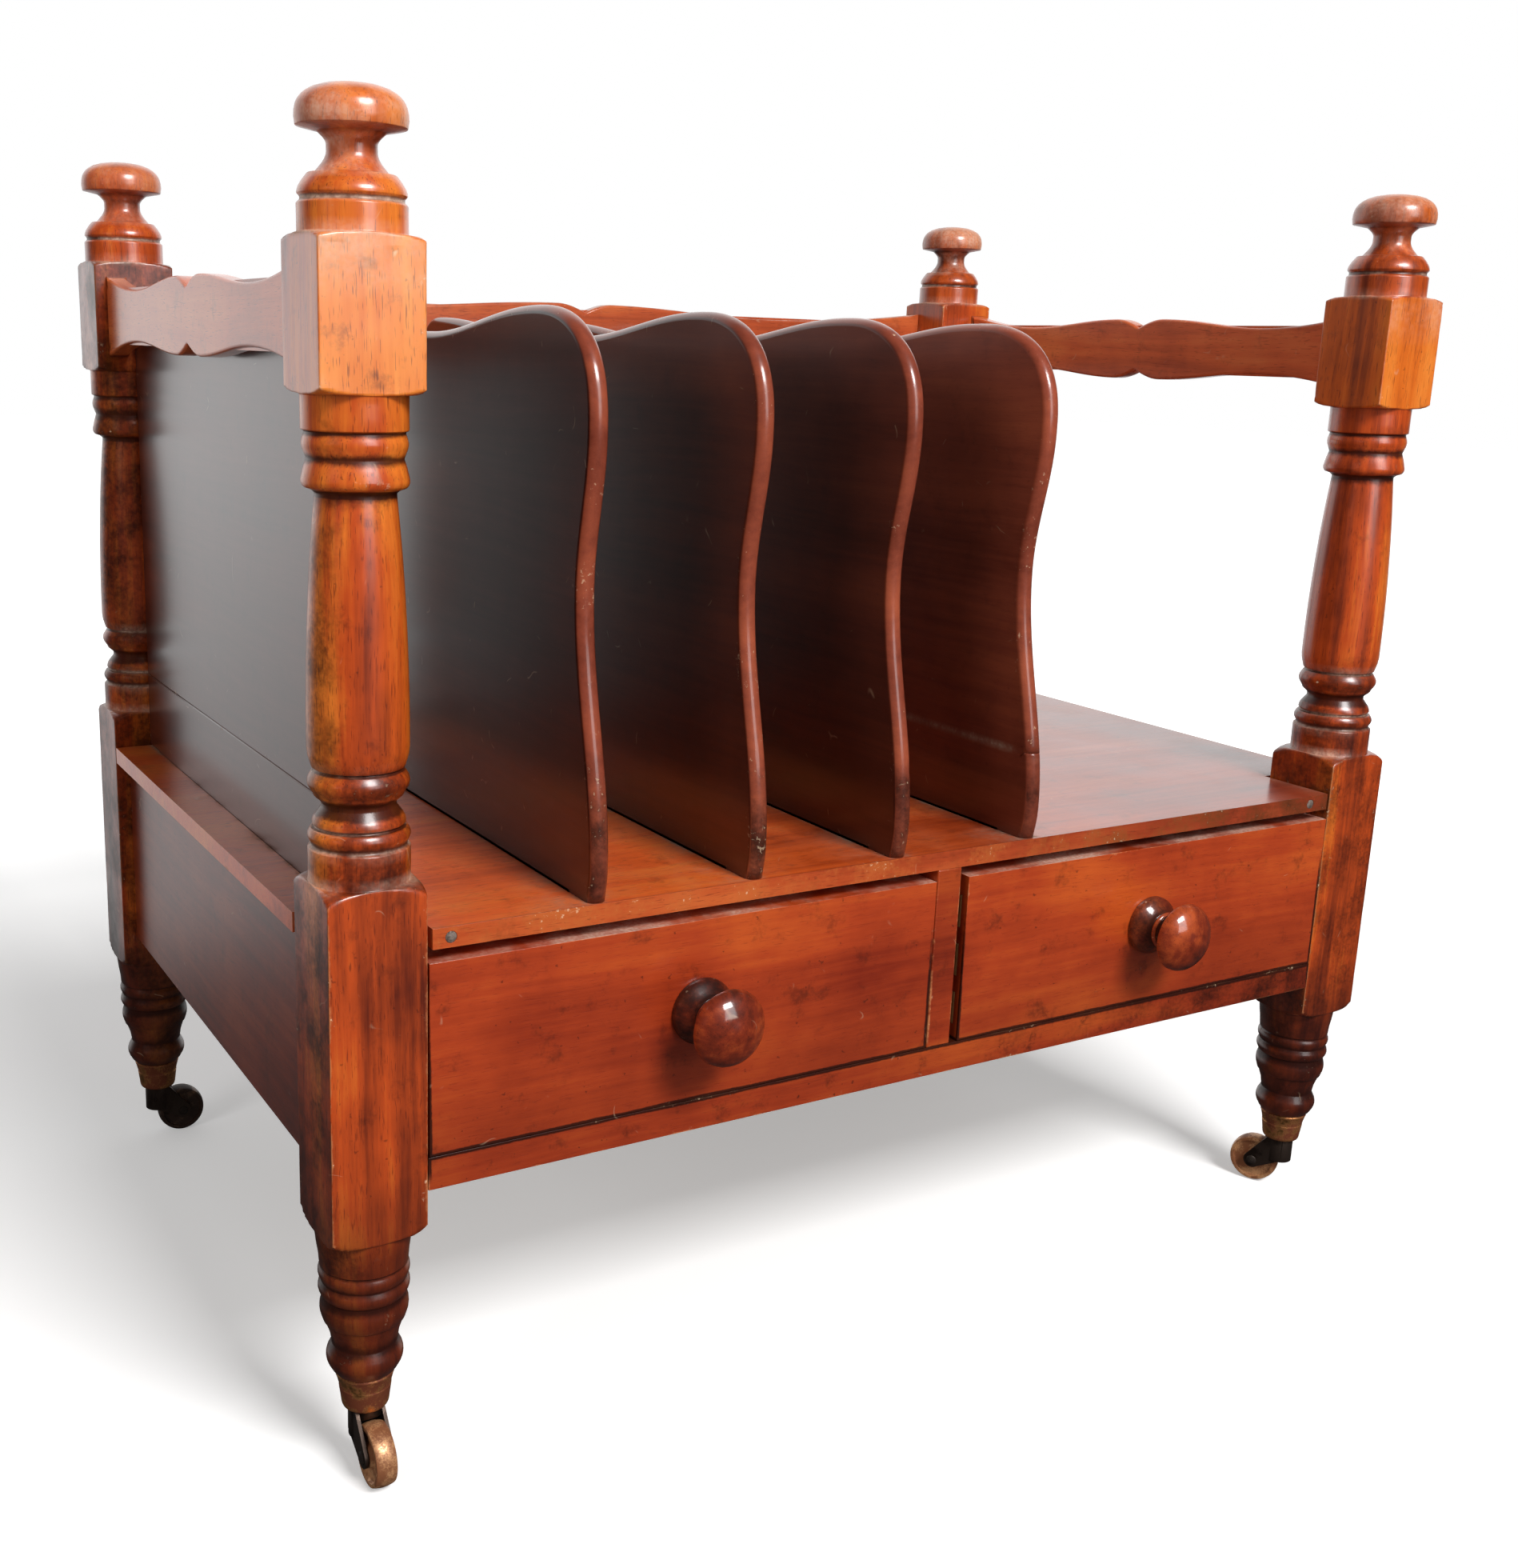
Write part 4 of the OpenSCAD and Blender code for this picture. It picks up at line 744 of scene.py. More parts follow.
class Lathe:
    """Turns outlines into meshes with a Geometry Nodes tree, round or on a square plan."""

    ROUND_SIDES = 56
    CUT_SOFTNESS = 0.0002
    SHOULDER_RUB = 0.0016
    CORNER_RUB = 0.003
    WELD = 2e-6

    def __init__(self) -> None:
        """Builds the two trees that every turned piece goes through."""
        self.turning = self.turning_tree()
        self.denting = self.denting_tree()

    @staticmethod
    def turning_tree() -> bpy.types.NodeTree:
        """The tree that sweeps an outline round a plan: the plan cuts off what is wider than it.

        Returns:
            The tree, with its sizes as named inputs.
        """
        wiring, given, out = new_tree(
            "GeometryNodeTree", "Turning",
            {"Geometry": "Geometry", "Outline": "Object", "Plan": "Object", "Rings": "Int", "Sides": "Int",
             "Softening": "Float", "Arris": "Float", "Material": "Material"},
            {"Geometry": "Geometry"})
        across = wiring.math("ADD", given["Sides"], 1.0)
        sizes = {"Size X": 1.0, "Size Y": 1.0, "Vertices X": given["Rings"], "Vertices Y": across}
        grid = wiring.node("GeometryNodeMeshGrid", sizes)
        index = wiring.node("GeometryNodeInputIndex").outputs[0]
        ring = wiring.math("FLOOR", wiring.math("DIVIDE", wiring.math("ADD", index, 0.5), across))
        side = wiring.minus(index, wiring.times(ring, across))
        side = wiring.math("FLOOR", wiring.math("MODULO", wiring.math("ADD", side, 0.25), given["Sides"]))

        def sampled(source: Socket, value: Socket, kind: str, at: Socket) -> Socket:
            """Returns value on the source's point number at."""
            geometry = wiring.node("GeometryNodeObjectInfo", {"Object": source}).outputs["Geometry"]
            made = wiring.node("GeometryNodeSampleIndex", data_type=kind, domain="POINT")
            for label, item in (("Geometry", geometry), ("Value", value), ("Index", at)):
                wiring.put(made.inputs[label], item)
            return made.outputs[0]

        position = wiring.node("GeometryNodeInputPosition").outputs[0]
        outline = sampled(given["Outline"], position, "FLOAT_VECTOR", ring)
        plan = sampled(given["Plan"], position, "FLOAT_VECTOR", side)
        hollow = sampled(given["Outline"], wiring.carried("hollow"), "FLOAT", ring)
        block = sampled(given["Outline"], wiring.carried("block"), "FLOAT", ring)
        corner = sampled(given["Plan"], wiring.carried("arris"), "FLOAT", side)
        turned = wiring.axis(outline, "X")
        reach = wiring.length(plan)
        radius = wiring.math("SMOOTH_MIN", turned, reach, given["Softening"])
        flat = wiring.scaled(wiring.vector("NORMALIZE", plan), radius)
        lift = wiring.node("ShaderNodeCombineXYZ", {"Z": wiring.axis(outline, "Z")}).outputs[0]
        swept = {"Geometry": grid.outputs["Mesh"], "Position": wiring.vector("ADD", flat, lift)}
        body = wiring.node("GeometryNodeSetPosition", swept).outputs[0]
        apart = wiring.math("ABSOLUTE", wiring.minus(turned, reach))
        shoulder = wiring.times(wiring.span(apart, 0.0, Lathe.SHOULDER_RUB, 1.0, 0.0), block)
        upright = wiring.times(corner, wiring.math("GREATER_THAN", turned, reach))
        arris = wiring.most(shoulder, wiring.times(upright, block))
        crest = wiring.most(wiring.times(hollow, -1.0), 0.0)
        arris = wiring.most(arris, wiring.times(crest, given["Arris"]))
        for name, value in (("hollow", hollow), ("arris", arris)):
            body = wiring.stored(body, name, value)
        merged = wiring.node("GeometryNodeMergeByDistance", {"Geometry": body, "Distance": Lathe.WELD})
        facing = wiring.node("GeometryNodeFlipFaces", {0: merged.outputs[0]})
        smooth = wiring.node("GeometryNodeSetShadeSmooth", {0: facing.outputs[0]})
        wiring.put(out.inputs[0], wiring.painted(smooth.outputs[0], given["Material"]))
        return wiring.tree

    @staticmethod
    def denting_tree() -> bpy.types.NodeTree:
        """The tree that presses small dents into a dense mesh, most of them along its arrises.

        Returns:
            The tree, with its sizes and seed as named inputs.
        """
        wiring, given, out = new_tree(
            "GeometryNodeTree", "Dents",
            {"Geometry": "Geometry", "Density": "Float", "Radius": "Float", "Depth": "Float", "Seed": "Int",
             "Unevenness": "Float", "Material": "Material"},
            {"Geometry": "Geometry"})
        crowding = wiring.times_plus(wiring.carried("arris"), 12.0, 0.3)
        spread = {"Mesh": given["Geometry"], "Density": wiring.times(given["Density"], crowding),
                  "Seed": given["Seed"]}
        spots = wiring.node("GeometryNodeDistributePointsOnFaces", spread)
        near = wiring.node("GeometryNodeProximity", {0: spots.outputs["Points"]}, target_element="POINTS")
        place = wiring.node("GeometryNodeInputPosition").outputs[0]
        uneven = wiring.span(wiring.noise(place, 260.0, 1.0), 0.35, 0.6, 0.25, 1.0)
        pit = wiring.span(near.outputs["Distance"], 0.0, given["Radius"], 1.0, 0.0)
        press = wiring.times(pit, uneven)
        sunk = wiring.times(wiring.noise(place, 75.0, 2.0), wiring.times(given["Unevenness"], -1.0))
        sunk = wiring.times_plus(press, wiring.times(given["Depth"], -1.0), sunk)
        inward = wiring.scaled(wiring.node("GeometryNodeInputNormal").outputs[0], sunk)
        dented = {"Geometry": wiring.stored(given["Geometry"], "dent", press), "Offset": inward}
        moved = wiring.node("GeometryNodeSetPosition", dented).outputs[0]
        wiring.put(out.inputs[0], wiring.painted(moved, given["Material"]))
        return wiring.tree

    @staticmethod
    def run(tree: bpy.types.NodeTree, mesh: bpy.types.Mesh, inputs: dict[str, object]) -> bpy.types.Mesh:
        """Runs a tree on a mesh and returns what it makes as a plain mesh.

        Args:
            tree: the Geometry Nodes tree.
            mesh: the mesh that goes in.
            inputs: a value for each named input.

        Returns:
            The new mesh.
        """
        holder = link(bpy.data.objects.new("holder", mesh))
        modifier = holder.modifiers.new("nodes", "NODES")
        modifier.node_group = tree
        keys = {item.name: item.identifier for item in tree.interface.items_tree
                if item.item_type == "SOCKET" and item.in_out == "INPUT"}
        for label, value in inputs.items():
            modifier[keys[label]] = value
        bpy.context.view_layer.update()
        graph = bpy.context.evaluated_depsgraph_get()
        evaluated = holder.evaluated_get(graph)
        made = bpy.data.meshes.new_from_object(evaluated, preserve_all_data_layers=True, depsgraph=graph)
        bpy.data.objects.remove(holder, do_unlink=True)
        return made

    @staticmethod
    def points_object(rows: np.ndarray, values: dict[str, np.ndarray]) -> bpy.types.Object:
        """Returns an object of loose points with attributes, for a tree to sample."""
        mesh = bpy.data.meshes.new("points")
        mesh.from_pydata(rows.tolist(), [], [])
        for name, column in values.items():
            mesh.attributes.new(name, "FLOAT", "POINT").data.foreach_set("value", column.astype(np.float32))
        return link(bpy.data.objects.new("points", mesh))

    @staticmethod
    def round_plan(sides: int) -> tuple[np.ndarray, np.ndarray]:
        """Returns a circle too wide to cut anything off, and no arrises."""
        turn = np.arange(sides) * 2 * math.pi / sides
        return np.column_stack([np.cos(turn), np.sin(turn), np.zeros(sides)]), np.zeros(sides)

    @staticmethod
    def square_plan(side: float, rounding: float, across: int = 7,
                    bend: int = 4) -> tuple[np.ndarray, np.ndarray]:
        """Lays points on a square with rounded corners.

        Args:
            side: the side of the square.
            rounding: the radius of its corners.
            across: points on half a side.
            bend: points on half a corner.

        Returns:
            The points, and how near each lies to a corner.
        """
        half = side / 2
        centre = half - rounding
        eighth = [(half, centre * k / across) for k in range(across)]
        arc = [math.pi / 4 * k / bend for k in range(bend)]
        eighth += [(centre + rounding * math.cos(a), centre + rounding * math.sin(a)) for a in arc]
        middle = [(centre + rounding / math.sqrt(2),) * 2]
        quarter = eighth + middle + [(y, x) for x, y in reversed(eighth[1:])]
        points, near = [], []
        for turn in range(4):
            for x, y in quarter:
                for _ in range(turn):
                    x, y = -y, x
                points.append((x, y, 0.0))
                gap = abs(abs(x) - abs(y))
                near.append(1.0 - min(1.0, gap / Lathe.CORNER_RUB))
        return np.array(points), np.array(near)

    def turn(self, outline: Outline, material: bpy.types.Material, cut: Cut = Cut(),
             plan: tuple[np.ndarray, np.ndarray] | None = None) -> bpy.types.Mesh:
        """Turns an outline about the Z axis.

        Args:
            outline: the outline.
            material: the finish.
            cut: how finely it is turned and how worn it is.
            plan: the points and arrises of a plan that isn't round.

        Returns:
            The mesh, with hollow and arris attributes.
        """
        rings = outline.rings(cut)
        points, near = plan or self.round_plan(self.ROUND_SIDES)
        rows = np.column_stack([rings[:, 0], np.zeros(len(rings)), rings[:, 1]])
        line = self.points_object(rows, {"hollow": rings[:, 2], "block": rings[:, 3]})
        ground = self.points_object(points, {"arris": near})
        made = self.run(self.turning, bpy.data.meshes.new("blank"), {
            "Outline": line, "Plan": ground, "Rings": len(rings), "Sides": len(points),
            "Softening": self.CUT_SOFTNESS, "Arris": cut.rub, "Material": material})
        for item in (line, ground):
            bpy.data.objects.remove(item, do_unlink=True)
        return made

    def dent(self, mesh: bpy.types.Mesh, material: bpy.types.Material, dents: Dents,
             seed: int) -> bpy.types.Mesh:
        """Presses dents into a dense mesh.

        Args:
            mesh: the mesh.
            material: its finish.
            dents: how the piece is dented.
            seed: the seed of their places.

        Returns:
            The dented mesh, with a dent attribute.
        """
        return self.run(self.denting, mesh, {
            "Density": dents.density, "Radius": dents.radius, "Depth": dents.depth, "Seed": seed,
            "Unevenness": dents.uneven, "Material": material})


class Workshop:
    """Holds the finishes and the lathe, and gives each finished piece its place in the frame."""

    def __init__(self) -> None:
        """Builds the shared groups, the materials and the lathe."""
        effects = Effects()
        self.finishes = {finish.slot: finish.build(effects) for finish in FINISHES}
        self.lathe = Lathe()
        self.count = 0

    def finish(self, mesh: bpy.types.Mesh, name: str, body: str, slot: str, *nodes: str) -> None:
        """Makes a piece of a mesh that is already in place.

        Args:
            mesh: the mesh, in the frame's coordinates.
            name: the piece's name.
            body: the body that it rides on.
            slot: the name of its finish; not used.
            nodes: the nodes that it stands for.
        """
        piece = link(bpy.data.objects.new(name, mesh))
        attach(piece, body)
        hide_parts(*nodes)
        self.count += 1
        LOG.info("%s: %d faces, on %s", name, len(mesh.polygons), body)

    def repaint(self, node: str, finish: str) -> None:
        """Gives a node that keeps its own shape a finish."""
        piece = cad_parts[node]
        if not piece.material_slots:
            piece.data.materials.append(None)
        for place in piece.material_slots:
            place.material = self.finishes[finish]
        LOG.info("%s: its own shape, in %s", node, finish)


@dataclass
class Softened:
    """A copy of a CAD node with rounded edges and a rim along each face for the wear to follow."""

    WELD: ClassVar = 1e-6
    FLAT: ClassVar = math.radians(0.6)
    RIMMED: ClassVar = 2.6

    rounding: float = 0.0007
    rim: float = 0.0016
    segments: int = 3
    sharp: float = math.radians(35)
    cells: float = 0.0

    def mesh(self, node: str, material: bpy.types.Material) -> bpy.types.Mesh:
        """Makes the copy.

        Args:
            node: the CAD node.
            material: its finish.

        Returns:
            The mesh, with an arris attribute.
        """
        work = bmesh.new()
        work.from_mesh(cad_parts[node].data)
        bmesh.ops.remove_doubles(work, verts=work.verts, dist=self.WELD)
        bmesh.ops.dissolve_limit(work, angle_limit=self.FLAT, verts=work.verts, edges=work.edges)
        edges = [e for e in work.edges if len(e.link_faces) == 2 and e.calc_face_angle(0.0) > self.sharp]
        rounded = bmesh.ops.bevel(work, geom=edges, offset=self.rounding, segments=self.segments, profile=0.5,
                                  affect="EDGES", clamp_overlap=True)
        strips = set(rounded["faces"])
        arris = work.verts.layers.float.new("arris")
        for face in strips:
            face.smooth = True
            for vert in face.verts:
                vert[arris] = 1.0
        flats = [f for f in work.faces if f not in strips and self.width(f) > self.RIMMED * self.rim]
        if flats and self.rim:
            bmesh.ops.inset_region(work, faces=flats, thickness=self.rim, use_boundary=True,
                                   use_even_offset=True)
            for face in flats:
                for vert in face.verts:
                    vert[arris] = 0.0
        if self.cells:
            self.dice(work)
        made = bpy.data.meshes.new(node)
        work.to_mesh(made)
        work.free()
        made.materials.append(material)
        return made

    @staticmethod
    def width(face: bmesh.types.BMFace) -> float:
        """Returns about how wide a face is across its longest edge."""
        return face.calc_area() / max(edge.calc_length() for edge in face.edges)

    def dice(self, work: bmesh.types.BMesh) -> None:
        """Cuts the mesh into cells along X and Y, so that attributes and dents can vary over it."""
        places = np.array([v.co for v in work.verts])
        for axis in (0, 1):
            low, high = places[:, axis].min(), places[:, axis].max()
            count = max(1, round((high - low) / self.cells))
            for k in range(1, count):
                spot, normal = Vector(), Vector()
                spot[axis] = low + (high - low) * k / count
                normal[axis] = 1.0
                bmesh.ops.bisect_plane(work, geom=[*work.verts, *work.edges, *work.faces], dist=1e-7,
                                       plane_co=spot, plane_no=normal)


def rise(values: np.ndarray, low: float, high: float) -> np.ndarray:
    """Returns how far each value has come from low to high, from 0 to 1."""
    return np.clip((values - low) / (high - low), 0.0, 1.0)


def between(values: np.ndarray, band: tuple[float, float]) -> np.ndarray:
    """Returns which values lie inside a band."""
    return (values > band[0]) & (values < band[1])


def store(mesh: bpy.types.Mesh, name: str, value_at: Callable[[np.ndarray], np.ndarray]) -> None:
    """Stores an attribute that follows from the vertices' places.

    Args:
        mesh: the mesh.
        name: the attribute's name.
        value_at: gives the values for an array of places.
    """
    places = np.empty(len(mesh.vertices) * 3, np.float32)
    mesh.vertices.foreach_get("co", places)
    values = value_at(places.reshape(-1, 3)).astype(np.float32)
    layer = mesh.attributes.get(name) or mesh.attributes.new(name, "FLOAT", "POINT")
    layer.data.foreach_set("value", values)


def alter(mesh: bpy.types.Mesh, name: str, change: Callable[[np.ndarray, np.ndarray], np.ndarray]) -> None:
    """Changes an attribute that the mesh may already have.

    Args:
        mesh: the mesh.
        name: the attribute's name.
        change: gives the new values for an array of places and the values so far.
    """
    held = np.zeros(len(mesh.vertices), np.float32)
    if name in mesh.attributes:
        mesh.attributes[name].data.foreach_get("value", held)
    store(mesh, name, lambda places: change(places, held))


@dataclass
class ShapedBoard:
    """A board cut to an outline, its edge rounded over."""

    thickness: float
    rounding: float
    depth: float
    steps: int = 5
    rub: float = 0.6
    shoulder_rub: float = 0.33
    rim: float = 0.0025

    def section(self) -> list[tuple[float, float]]:
        """Returns the edge's section, as place across the board and depth in from the outline."""
        half = self.thickness / 2
        arc = [(half - self.rounding * (1 - math.cos(a)), self.depth * (1 - math.sin(a)))
               for a in (math.pi / 2 * k / self.steps for k in range(self.steps + 1))]
        return [(-u, v) for u, v in arc] + [(u, v) for u, v in reversed(arc)]

    def mesh(self, name: str, outline: list[Point], square: Sequence[bool], place: Matrix,
             material: bpy.types.Material) -> bpy.types.Mesh:
        """Makes the board.

        Args:
            name: the mesh's name.
            outline: the outline's points, clockwise.
            square: for each point, whether its edge is left square.
            place: takes the board's own axes, with the thickness along X, to the frame.
            material: its finish.

        Returns:
            The mesh, with an arris attribute that is 1 on the rounded edge.
        """
        work = bmesh.new()
        arris = work.verts.layers.float.new("arris")
        count = len(outline)
        flat = np.array(outline)
        ahead = np.roll(flat, -1, axis=0) - np.roll(flat, 1, axis=0)
        out = np.column_stack([-ahead[:, 1], ahead[:, 0]]) / np.linalg.norm(ahead, axis=1)[:, None]
        for i in range(count):
            if square[i]:
                out[i] = (math.copysign(1.0, flat[i, 0]), 0.0)
        rings = []
        section = self.section()
        for across, deep in section:
            inner = flat - out * deep
            ring = [work.verts.new((across, y, z)) for y, z in inner]
            for vert in ring:
                edge = abs(across) < self.thickness / 2 - SAME
                vert[arris] = self.rub if edge else self.shoulder_rub
            rings.append(ring)
        for first, second in zip(rings, rings[1:]):
            for i in range(count):
                j = (i + 1) % count
                face = work.faces.new((first[i], second[i], second[j], first[j]))
                face.smooth = True
        caps = [work.faces.new(list(rings[0])), work.faces.new(list(reversed(rings[-1])))]
        bmesh.ops.recalc_face_normals(work, faces=work.faces)
        bmesh.ops.inset_region(work, faces=caps, thickness=self.rim, use_boundary=True, use_even_offset=True)
        for cap in caps:
            for vert in cap.verts:
                vert[arris] = 0.0
        bmesh.ops.transform(work, matrix=place, verts=work.verts)
        made = bpy.data.meshes.new(name)
        work.to_mesh(made)
        work.free()
        made.materials.append(material)
        return made


def add_box(mesh: bpy.types.Mesh, low: Sequence[float], high: Sequence[float]) -> None:
    """Adds a plain box between two corners to a mesh, for a tenon or tongue that other wood hides."""
    work = bmesh.new()
    work.from_mesh(mesh)
    size = Vector(high) - Vector(low)
    place = Matrix.Translation((Vector(low) + Vector(high)) / 2) @ Matrix.Diagonal((*size, 1.0))
    bmesh.ops.create_cube(work, size=1.0, matrix=place)
    work.to_mesh(mesh)
    work.free()


@dataclass(frozen=True)
class Exposure:
    """The light and shade painted on one post: each from 0 to 1, and the height that its painted shade
    reaches.
    """

    # painted light on the cap
    cap: float
    # painted light on the block's front, partly sun-fading
    face: float
    # painted light on the block's left side
    side: float
    # painted shade low on the post
    painted_shade: float
    # painted shade on the belly's left side
    belly: float
    # the height that the painted shade reaches
    shaded_to: float = 0.2445


@dataclass
class Posts:
    """The four corner posts: turned foot, square block, baluster, square block and mushroom finial."""

    EXPOSURES: ClassVar = {
        "front_left": Exposure(1.0, 1.0, 0.0, 0.0, 0.3),
        "front_right": Exposure(0.8, 1.0, 0.5, 0.26, 0.0),
        "back_left": Exposure(0.35, 0.0, 0.0, 0.37, 0.37, 0.469),
        "back_right": Exposure(1.0, 0.0, 0.3, 0.2, 0.0),
    }

    side: float = 0.038
    peg_z: float = 0.0330
    foot_z: float = 0.044
    collar_r: float = 0.0187
    corner_over: float = 0.001
    cup_r: float = 0.0116
    arris_r: float = 0.0007
    groove: float = 0.0012
    swell_r: float = 0.0185
    swell_top_r: float = 0.0143
    neck_r: float = 0.0086
    cap_r: float = 0.019
    block_z: tuple[float, float] = (0.4165, 0.469)
    # the heights over which the painted sheen on the upper block's front fades in
    sheen_z: tuple[float, float] = (0.446, 0.462)
    cap_z: tuple[float, float] = (0.5005, 0.5035)
    dust_lines: tuple[float, ...] = (0.2449, 0.2576, 0.2651, 0.2862, 0.4686, 0.4795)
    belly_z: tuple[float, float] = (0.287, 0.383)
    rings_z: tuple[float, float] = (0.2445, 0.287)
    shoulder_z: float = 0.236
    neck_z: tuple[float, float] = (0.4875, 0.5)
    # painted light on the finial and on the belly's right side
    stem_paleness: float = 0.2
    belly_paleness: float = 0.4
    # painted sheen on the upper block's front
    sheen_and_dust: float = 0.45
    line_dust: float = 0.9
    line_reach: float = 0.0008
    # dust, and painted sheen on the cap and the neck
    cap_dust_and_sheen: float = 0.7
    # painted shade on left faces low on the post
    left_shade: float = 0.36
    neck_dirt: float = 0.1
    dents: Dents = Dents(900.0, 0.0016, 0.00035, 0.00022)
    first_seed: int = 11

    def outline(self) -> Outline:
        """Returns the whole post's outline, from its peg in the caster cup to the finial's top."""
        corner = self.side / math.sqrt(2) + self.corner_over
        line = Outline(0.0, self.peg_z, self.side / 2)
        line.to(0.0081).to(0.0103, self.foot_z - self.peg_z).to(self.cup_r)
        self.foot(line)
        line.block(self.collar_r, corner, 0.008, 0.139)
        self.baluster(line)
        line.block(self.collar_r, corner, 0.0045, 0.0525)
        self.finial(line)
        return line

    def foot(self, line: Outline) -> None:
        """Adds the foot: lip, neck, bead, two rings and taper."""
        groove = self.groove
        line.to(0.0129, 0.0015).bead(0.0129, 0.0022, 0.0115)
        line.to(0.0135, 0.00333).slope(0.0135, 0.0152, 0.00667)
        line.bead(0.016, 0.0013, 0.011).bead(0.0166, groove, 0.0065).bead(0.0166, groove, 0.0065)
        line.slope(0.0172, self.collar_r, 0.0145)

    def baluster(self, line: Outline) -> None:
        """Adds the baluster: collar, bead, bell, ring, swelling, ovolo, bead and collar."""
        collar, groove = self.collar_r, self.groove
        waist = collar - groove
        line.to(collar, 0.0125).to(waist, 0.0009).to(waist, 0.0009).bead(waist, groove, 0.0055)
        line.to(0.0161, 0.0003).to(0.0161, 0.0007).to(0.017, 0.0003).to(0.017, 0.0004)
        line.bell(0.017, 0.0136, 0.006).to(0.0136, 0.00125).slope(0.0136, 0.0165, 0.00355)
        line.to(0.0165, 0.0002).bead(0.0165, 0.002, 0.0085).to(0.0157, 0.0005).to(0.0169, 0.0005)
        line.hollow(0.0169, self.swell_r, 0.00775).to(self.swell_r, 0.001)
        line.swelling(self.swell_r, self.swell_top_r, 0.08815).to(0.0155, 0.001)
        line.ovolo(0.0155, 0.0169, 0.003, 0.0108).to(waist, 0.0014).bead(waist, 0.8 * groove, 0.0071)
        line.to(waist, 0.0005).to(collar, 0.0005).to(collar, 0.0118)

    def finial(self, line: Outline) -> None:
        """Adds the finial: collar, ovolo, neck and mushroom cap."""
        collar, groove, neck = self.collar_r, self.groove, self.neck_r
        line.to(collar, 0.0093).to(collar - groove, 0.001).to(collar - groove, 0.001).to(0.0185, 0.001)
        line.bell(0.0185, 0.0148, 0.0067).to(0.0125, 0.0003).hollow(0.0125, neck, 0.0067).to(neck, 0.002)
        line.flare(neck, 0.01165, 0.004).to(0.0186, 0.0015).to(self.cap_r, 0.0025)
        line.dome(self.cap_r, 0.0115, 2.6)

    def build(self, shop: Workshop) -> None:
        """Makes the four posts."""
        finish = shop.finishes["post_mahogany"]
        plan = shop.lathe.square_plan(self.side, self.arris_r)
        for seed, corner in enumerate(CORNERS, self.first_seed):
            node = f"post_{corner}"
            mesh = shop.lathe.turn(self.outline(), finish, plan=plan)
            mesh = shop.lathe.dent(mesh, finish, self.dents, seed)
            self.paint_light_shade_and_dirt(mesh, self.EXPOSURES[corner])
            mesh.transform(over(node))
            shop.finish(mesh, f"{node}_turned", "frame", "post_mahogany", node)

    def paint_light_shade_and_dirt(self, mesh: bpy.types.Mesh, exposure: Exposure) -> None:
        """Stores where light and shade are painted on the post, and where dust, painted sheen and grimy marks
        lie on it.

        Args:
            mesh: the post's mesh, its axis still at the origin.
            exposure: the light and shade painted on it.
        """
        cap, face = exposure.cap, exposure.face
        normals = np.empty(len(mesh.vertices) * 3, np.float32)
        mesh.vertices.foreach_get("normal", normals)
        normals = normals.reshape(-1, 3)
        front = rise(-normals[:, 1], 0.8, 0.95)
        leftward = rise(-normals[:, 0], 0.2, 0.9)

        def pale(places: np.ndarray) -> np.ndarray:
            """Returns how much light is painted on each place: the front block, partly as sun-fading, the
            cap, the stem, the belly's right side and the block's left side.
            """
            heights = places[:, 2]
            block = between(heights, self.block_z)
            # painted light: brighter where the surface turns up, forward and right, towards the lamps
            skyward = rise(0.8 * normals[:, 2] - 0.5 * normals[:, 1] + 0.9 * normals[:, 0], -0.5, 0.6)
            crown = rise(heights, *self.cap_z) * cap * (0.15 + 0.85 * skyward)
            stem = self.stem_paleness * cap * (heights > self.block_z[1])
            belly = self.belly_paleness * between(heights, self.belly_z) * rise(normals[:, 0], -0.1, 0.8)
            side = exposure.side * leftward * block
            return np.maximum.reduce([front * face * block, crown, stem, belly, side])

        def near(places: np.ndarray) -> np.ndarray:
            """Returns how dusty each place is, with painted sheen laid as dust: a sheen on the upper block's
            front, dust lines in the grooves, dust and painted sheen on the cap, and a painted highlight on
            the neck.
            """
            heights = places[:, 2]
            # painted sheen: a pale veil on the upper block's front faces, laid as dust
            sheen_and_dust = self.sheen_and_dust * face * front * rise(heights, *self.sheen_z) * (heights < self.block_z[1])
            for height in self.dust_lines:
                line = self.line_dust * np.exp(-((heights - height) / self.line_reach) ** 2)
                sheen_and_dust = np.maximum(sheen_and_dust, line)
            crown = self.cap_dust_and_sheen * cap * rise(heights, *self.cap_z)
            # painted highlight on the neck, laid as dust
            stem = self.cap_dust_and_sheen * cap * between(heights, self.neck_z)
            return np.maximum.reduce([sheen_and_dust, crown, stem])

        def dirt_and_shade(places: np.ndarray, hollow: np.ndarray) -> np.ndarray:
            """Returns how grimy each place is, with painted shade: grimy base rings and lower shoulders, and
            painted shade on the belly's left side, on left faces low on the post and on the post's lower
            part.
            """
            heights = places[:, 2]
            rings = HALF_DIRTY * between(heights, self.rings_z)
            ledge = between(heights, (self.shoulder_z, self.rings_z[1])) * (normals[:, 2] > 0.4)
            # painted shade: the belly's left side, left faces low on the post, and the lower post as its
            # exposure says
            belly = exposure.belly * leftward * between(heights, self.belly_z)
            lower = np.maximum(exposure.painted_shade, self.left_shade * leftward * (heights < self.rings_z[0]))
            lower = lower * (heights < exposure.shaded_to)
            clean = np.where(between(heights, self.neck_z), np.minimum(hollow, self.neck_dirt), hollow)
            return np.maximum.reduce([clean, rings, HALF_DIRTY * ledge, belly, lower])

        store(mesh, "pale", pale)
        store(mesh, "near", near)
        alter(mesh, "hollow", dirt_and_shade)


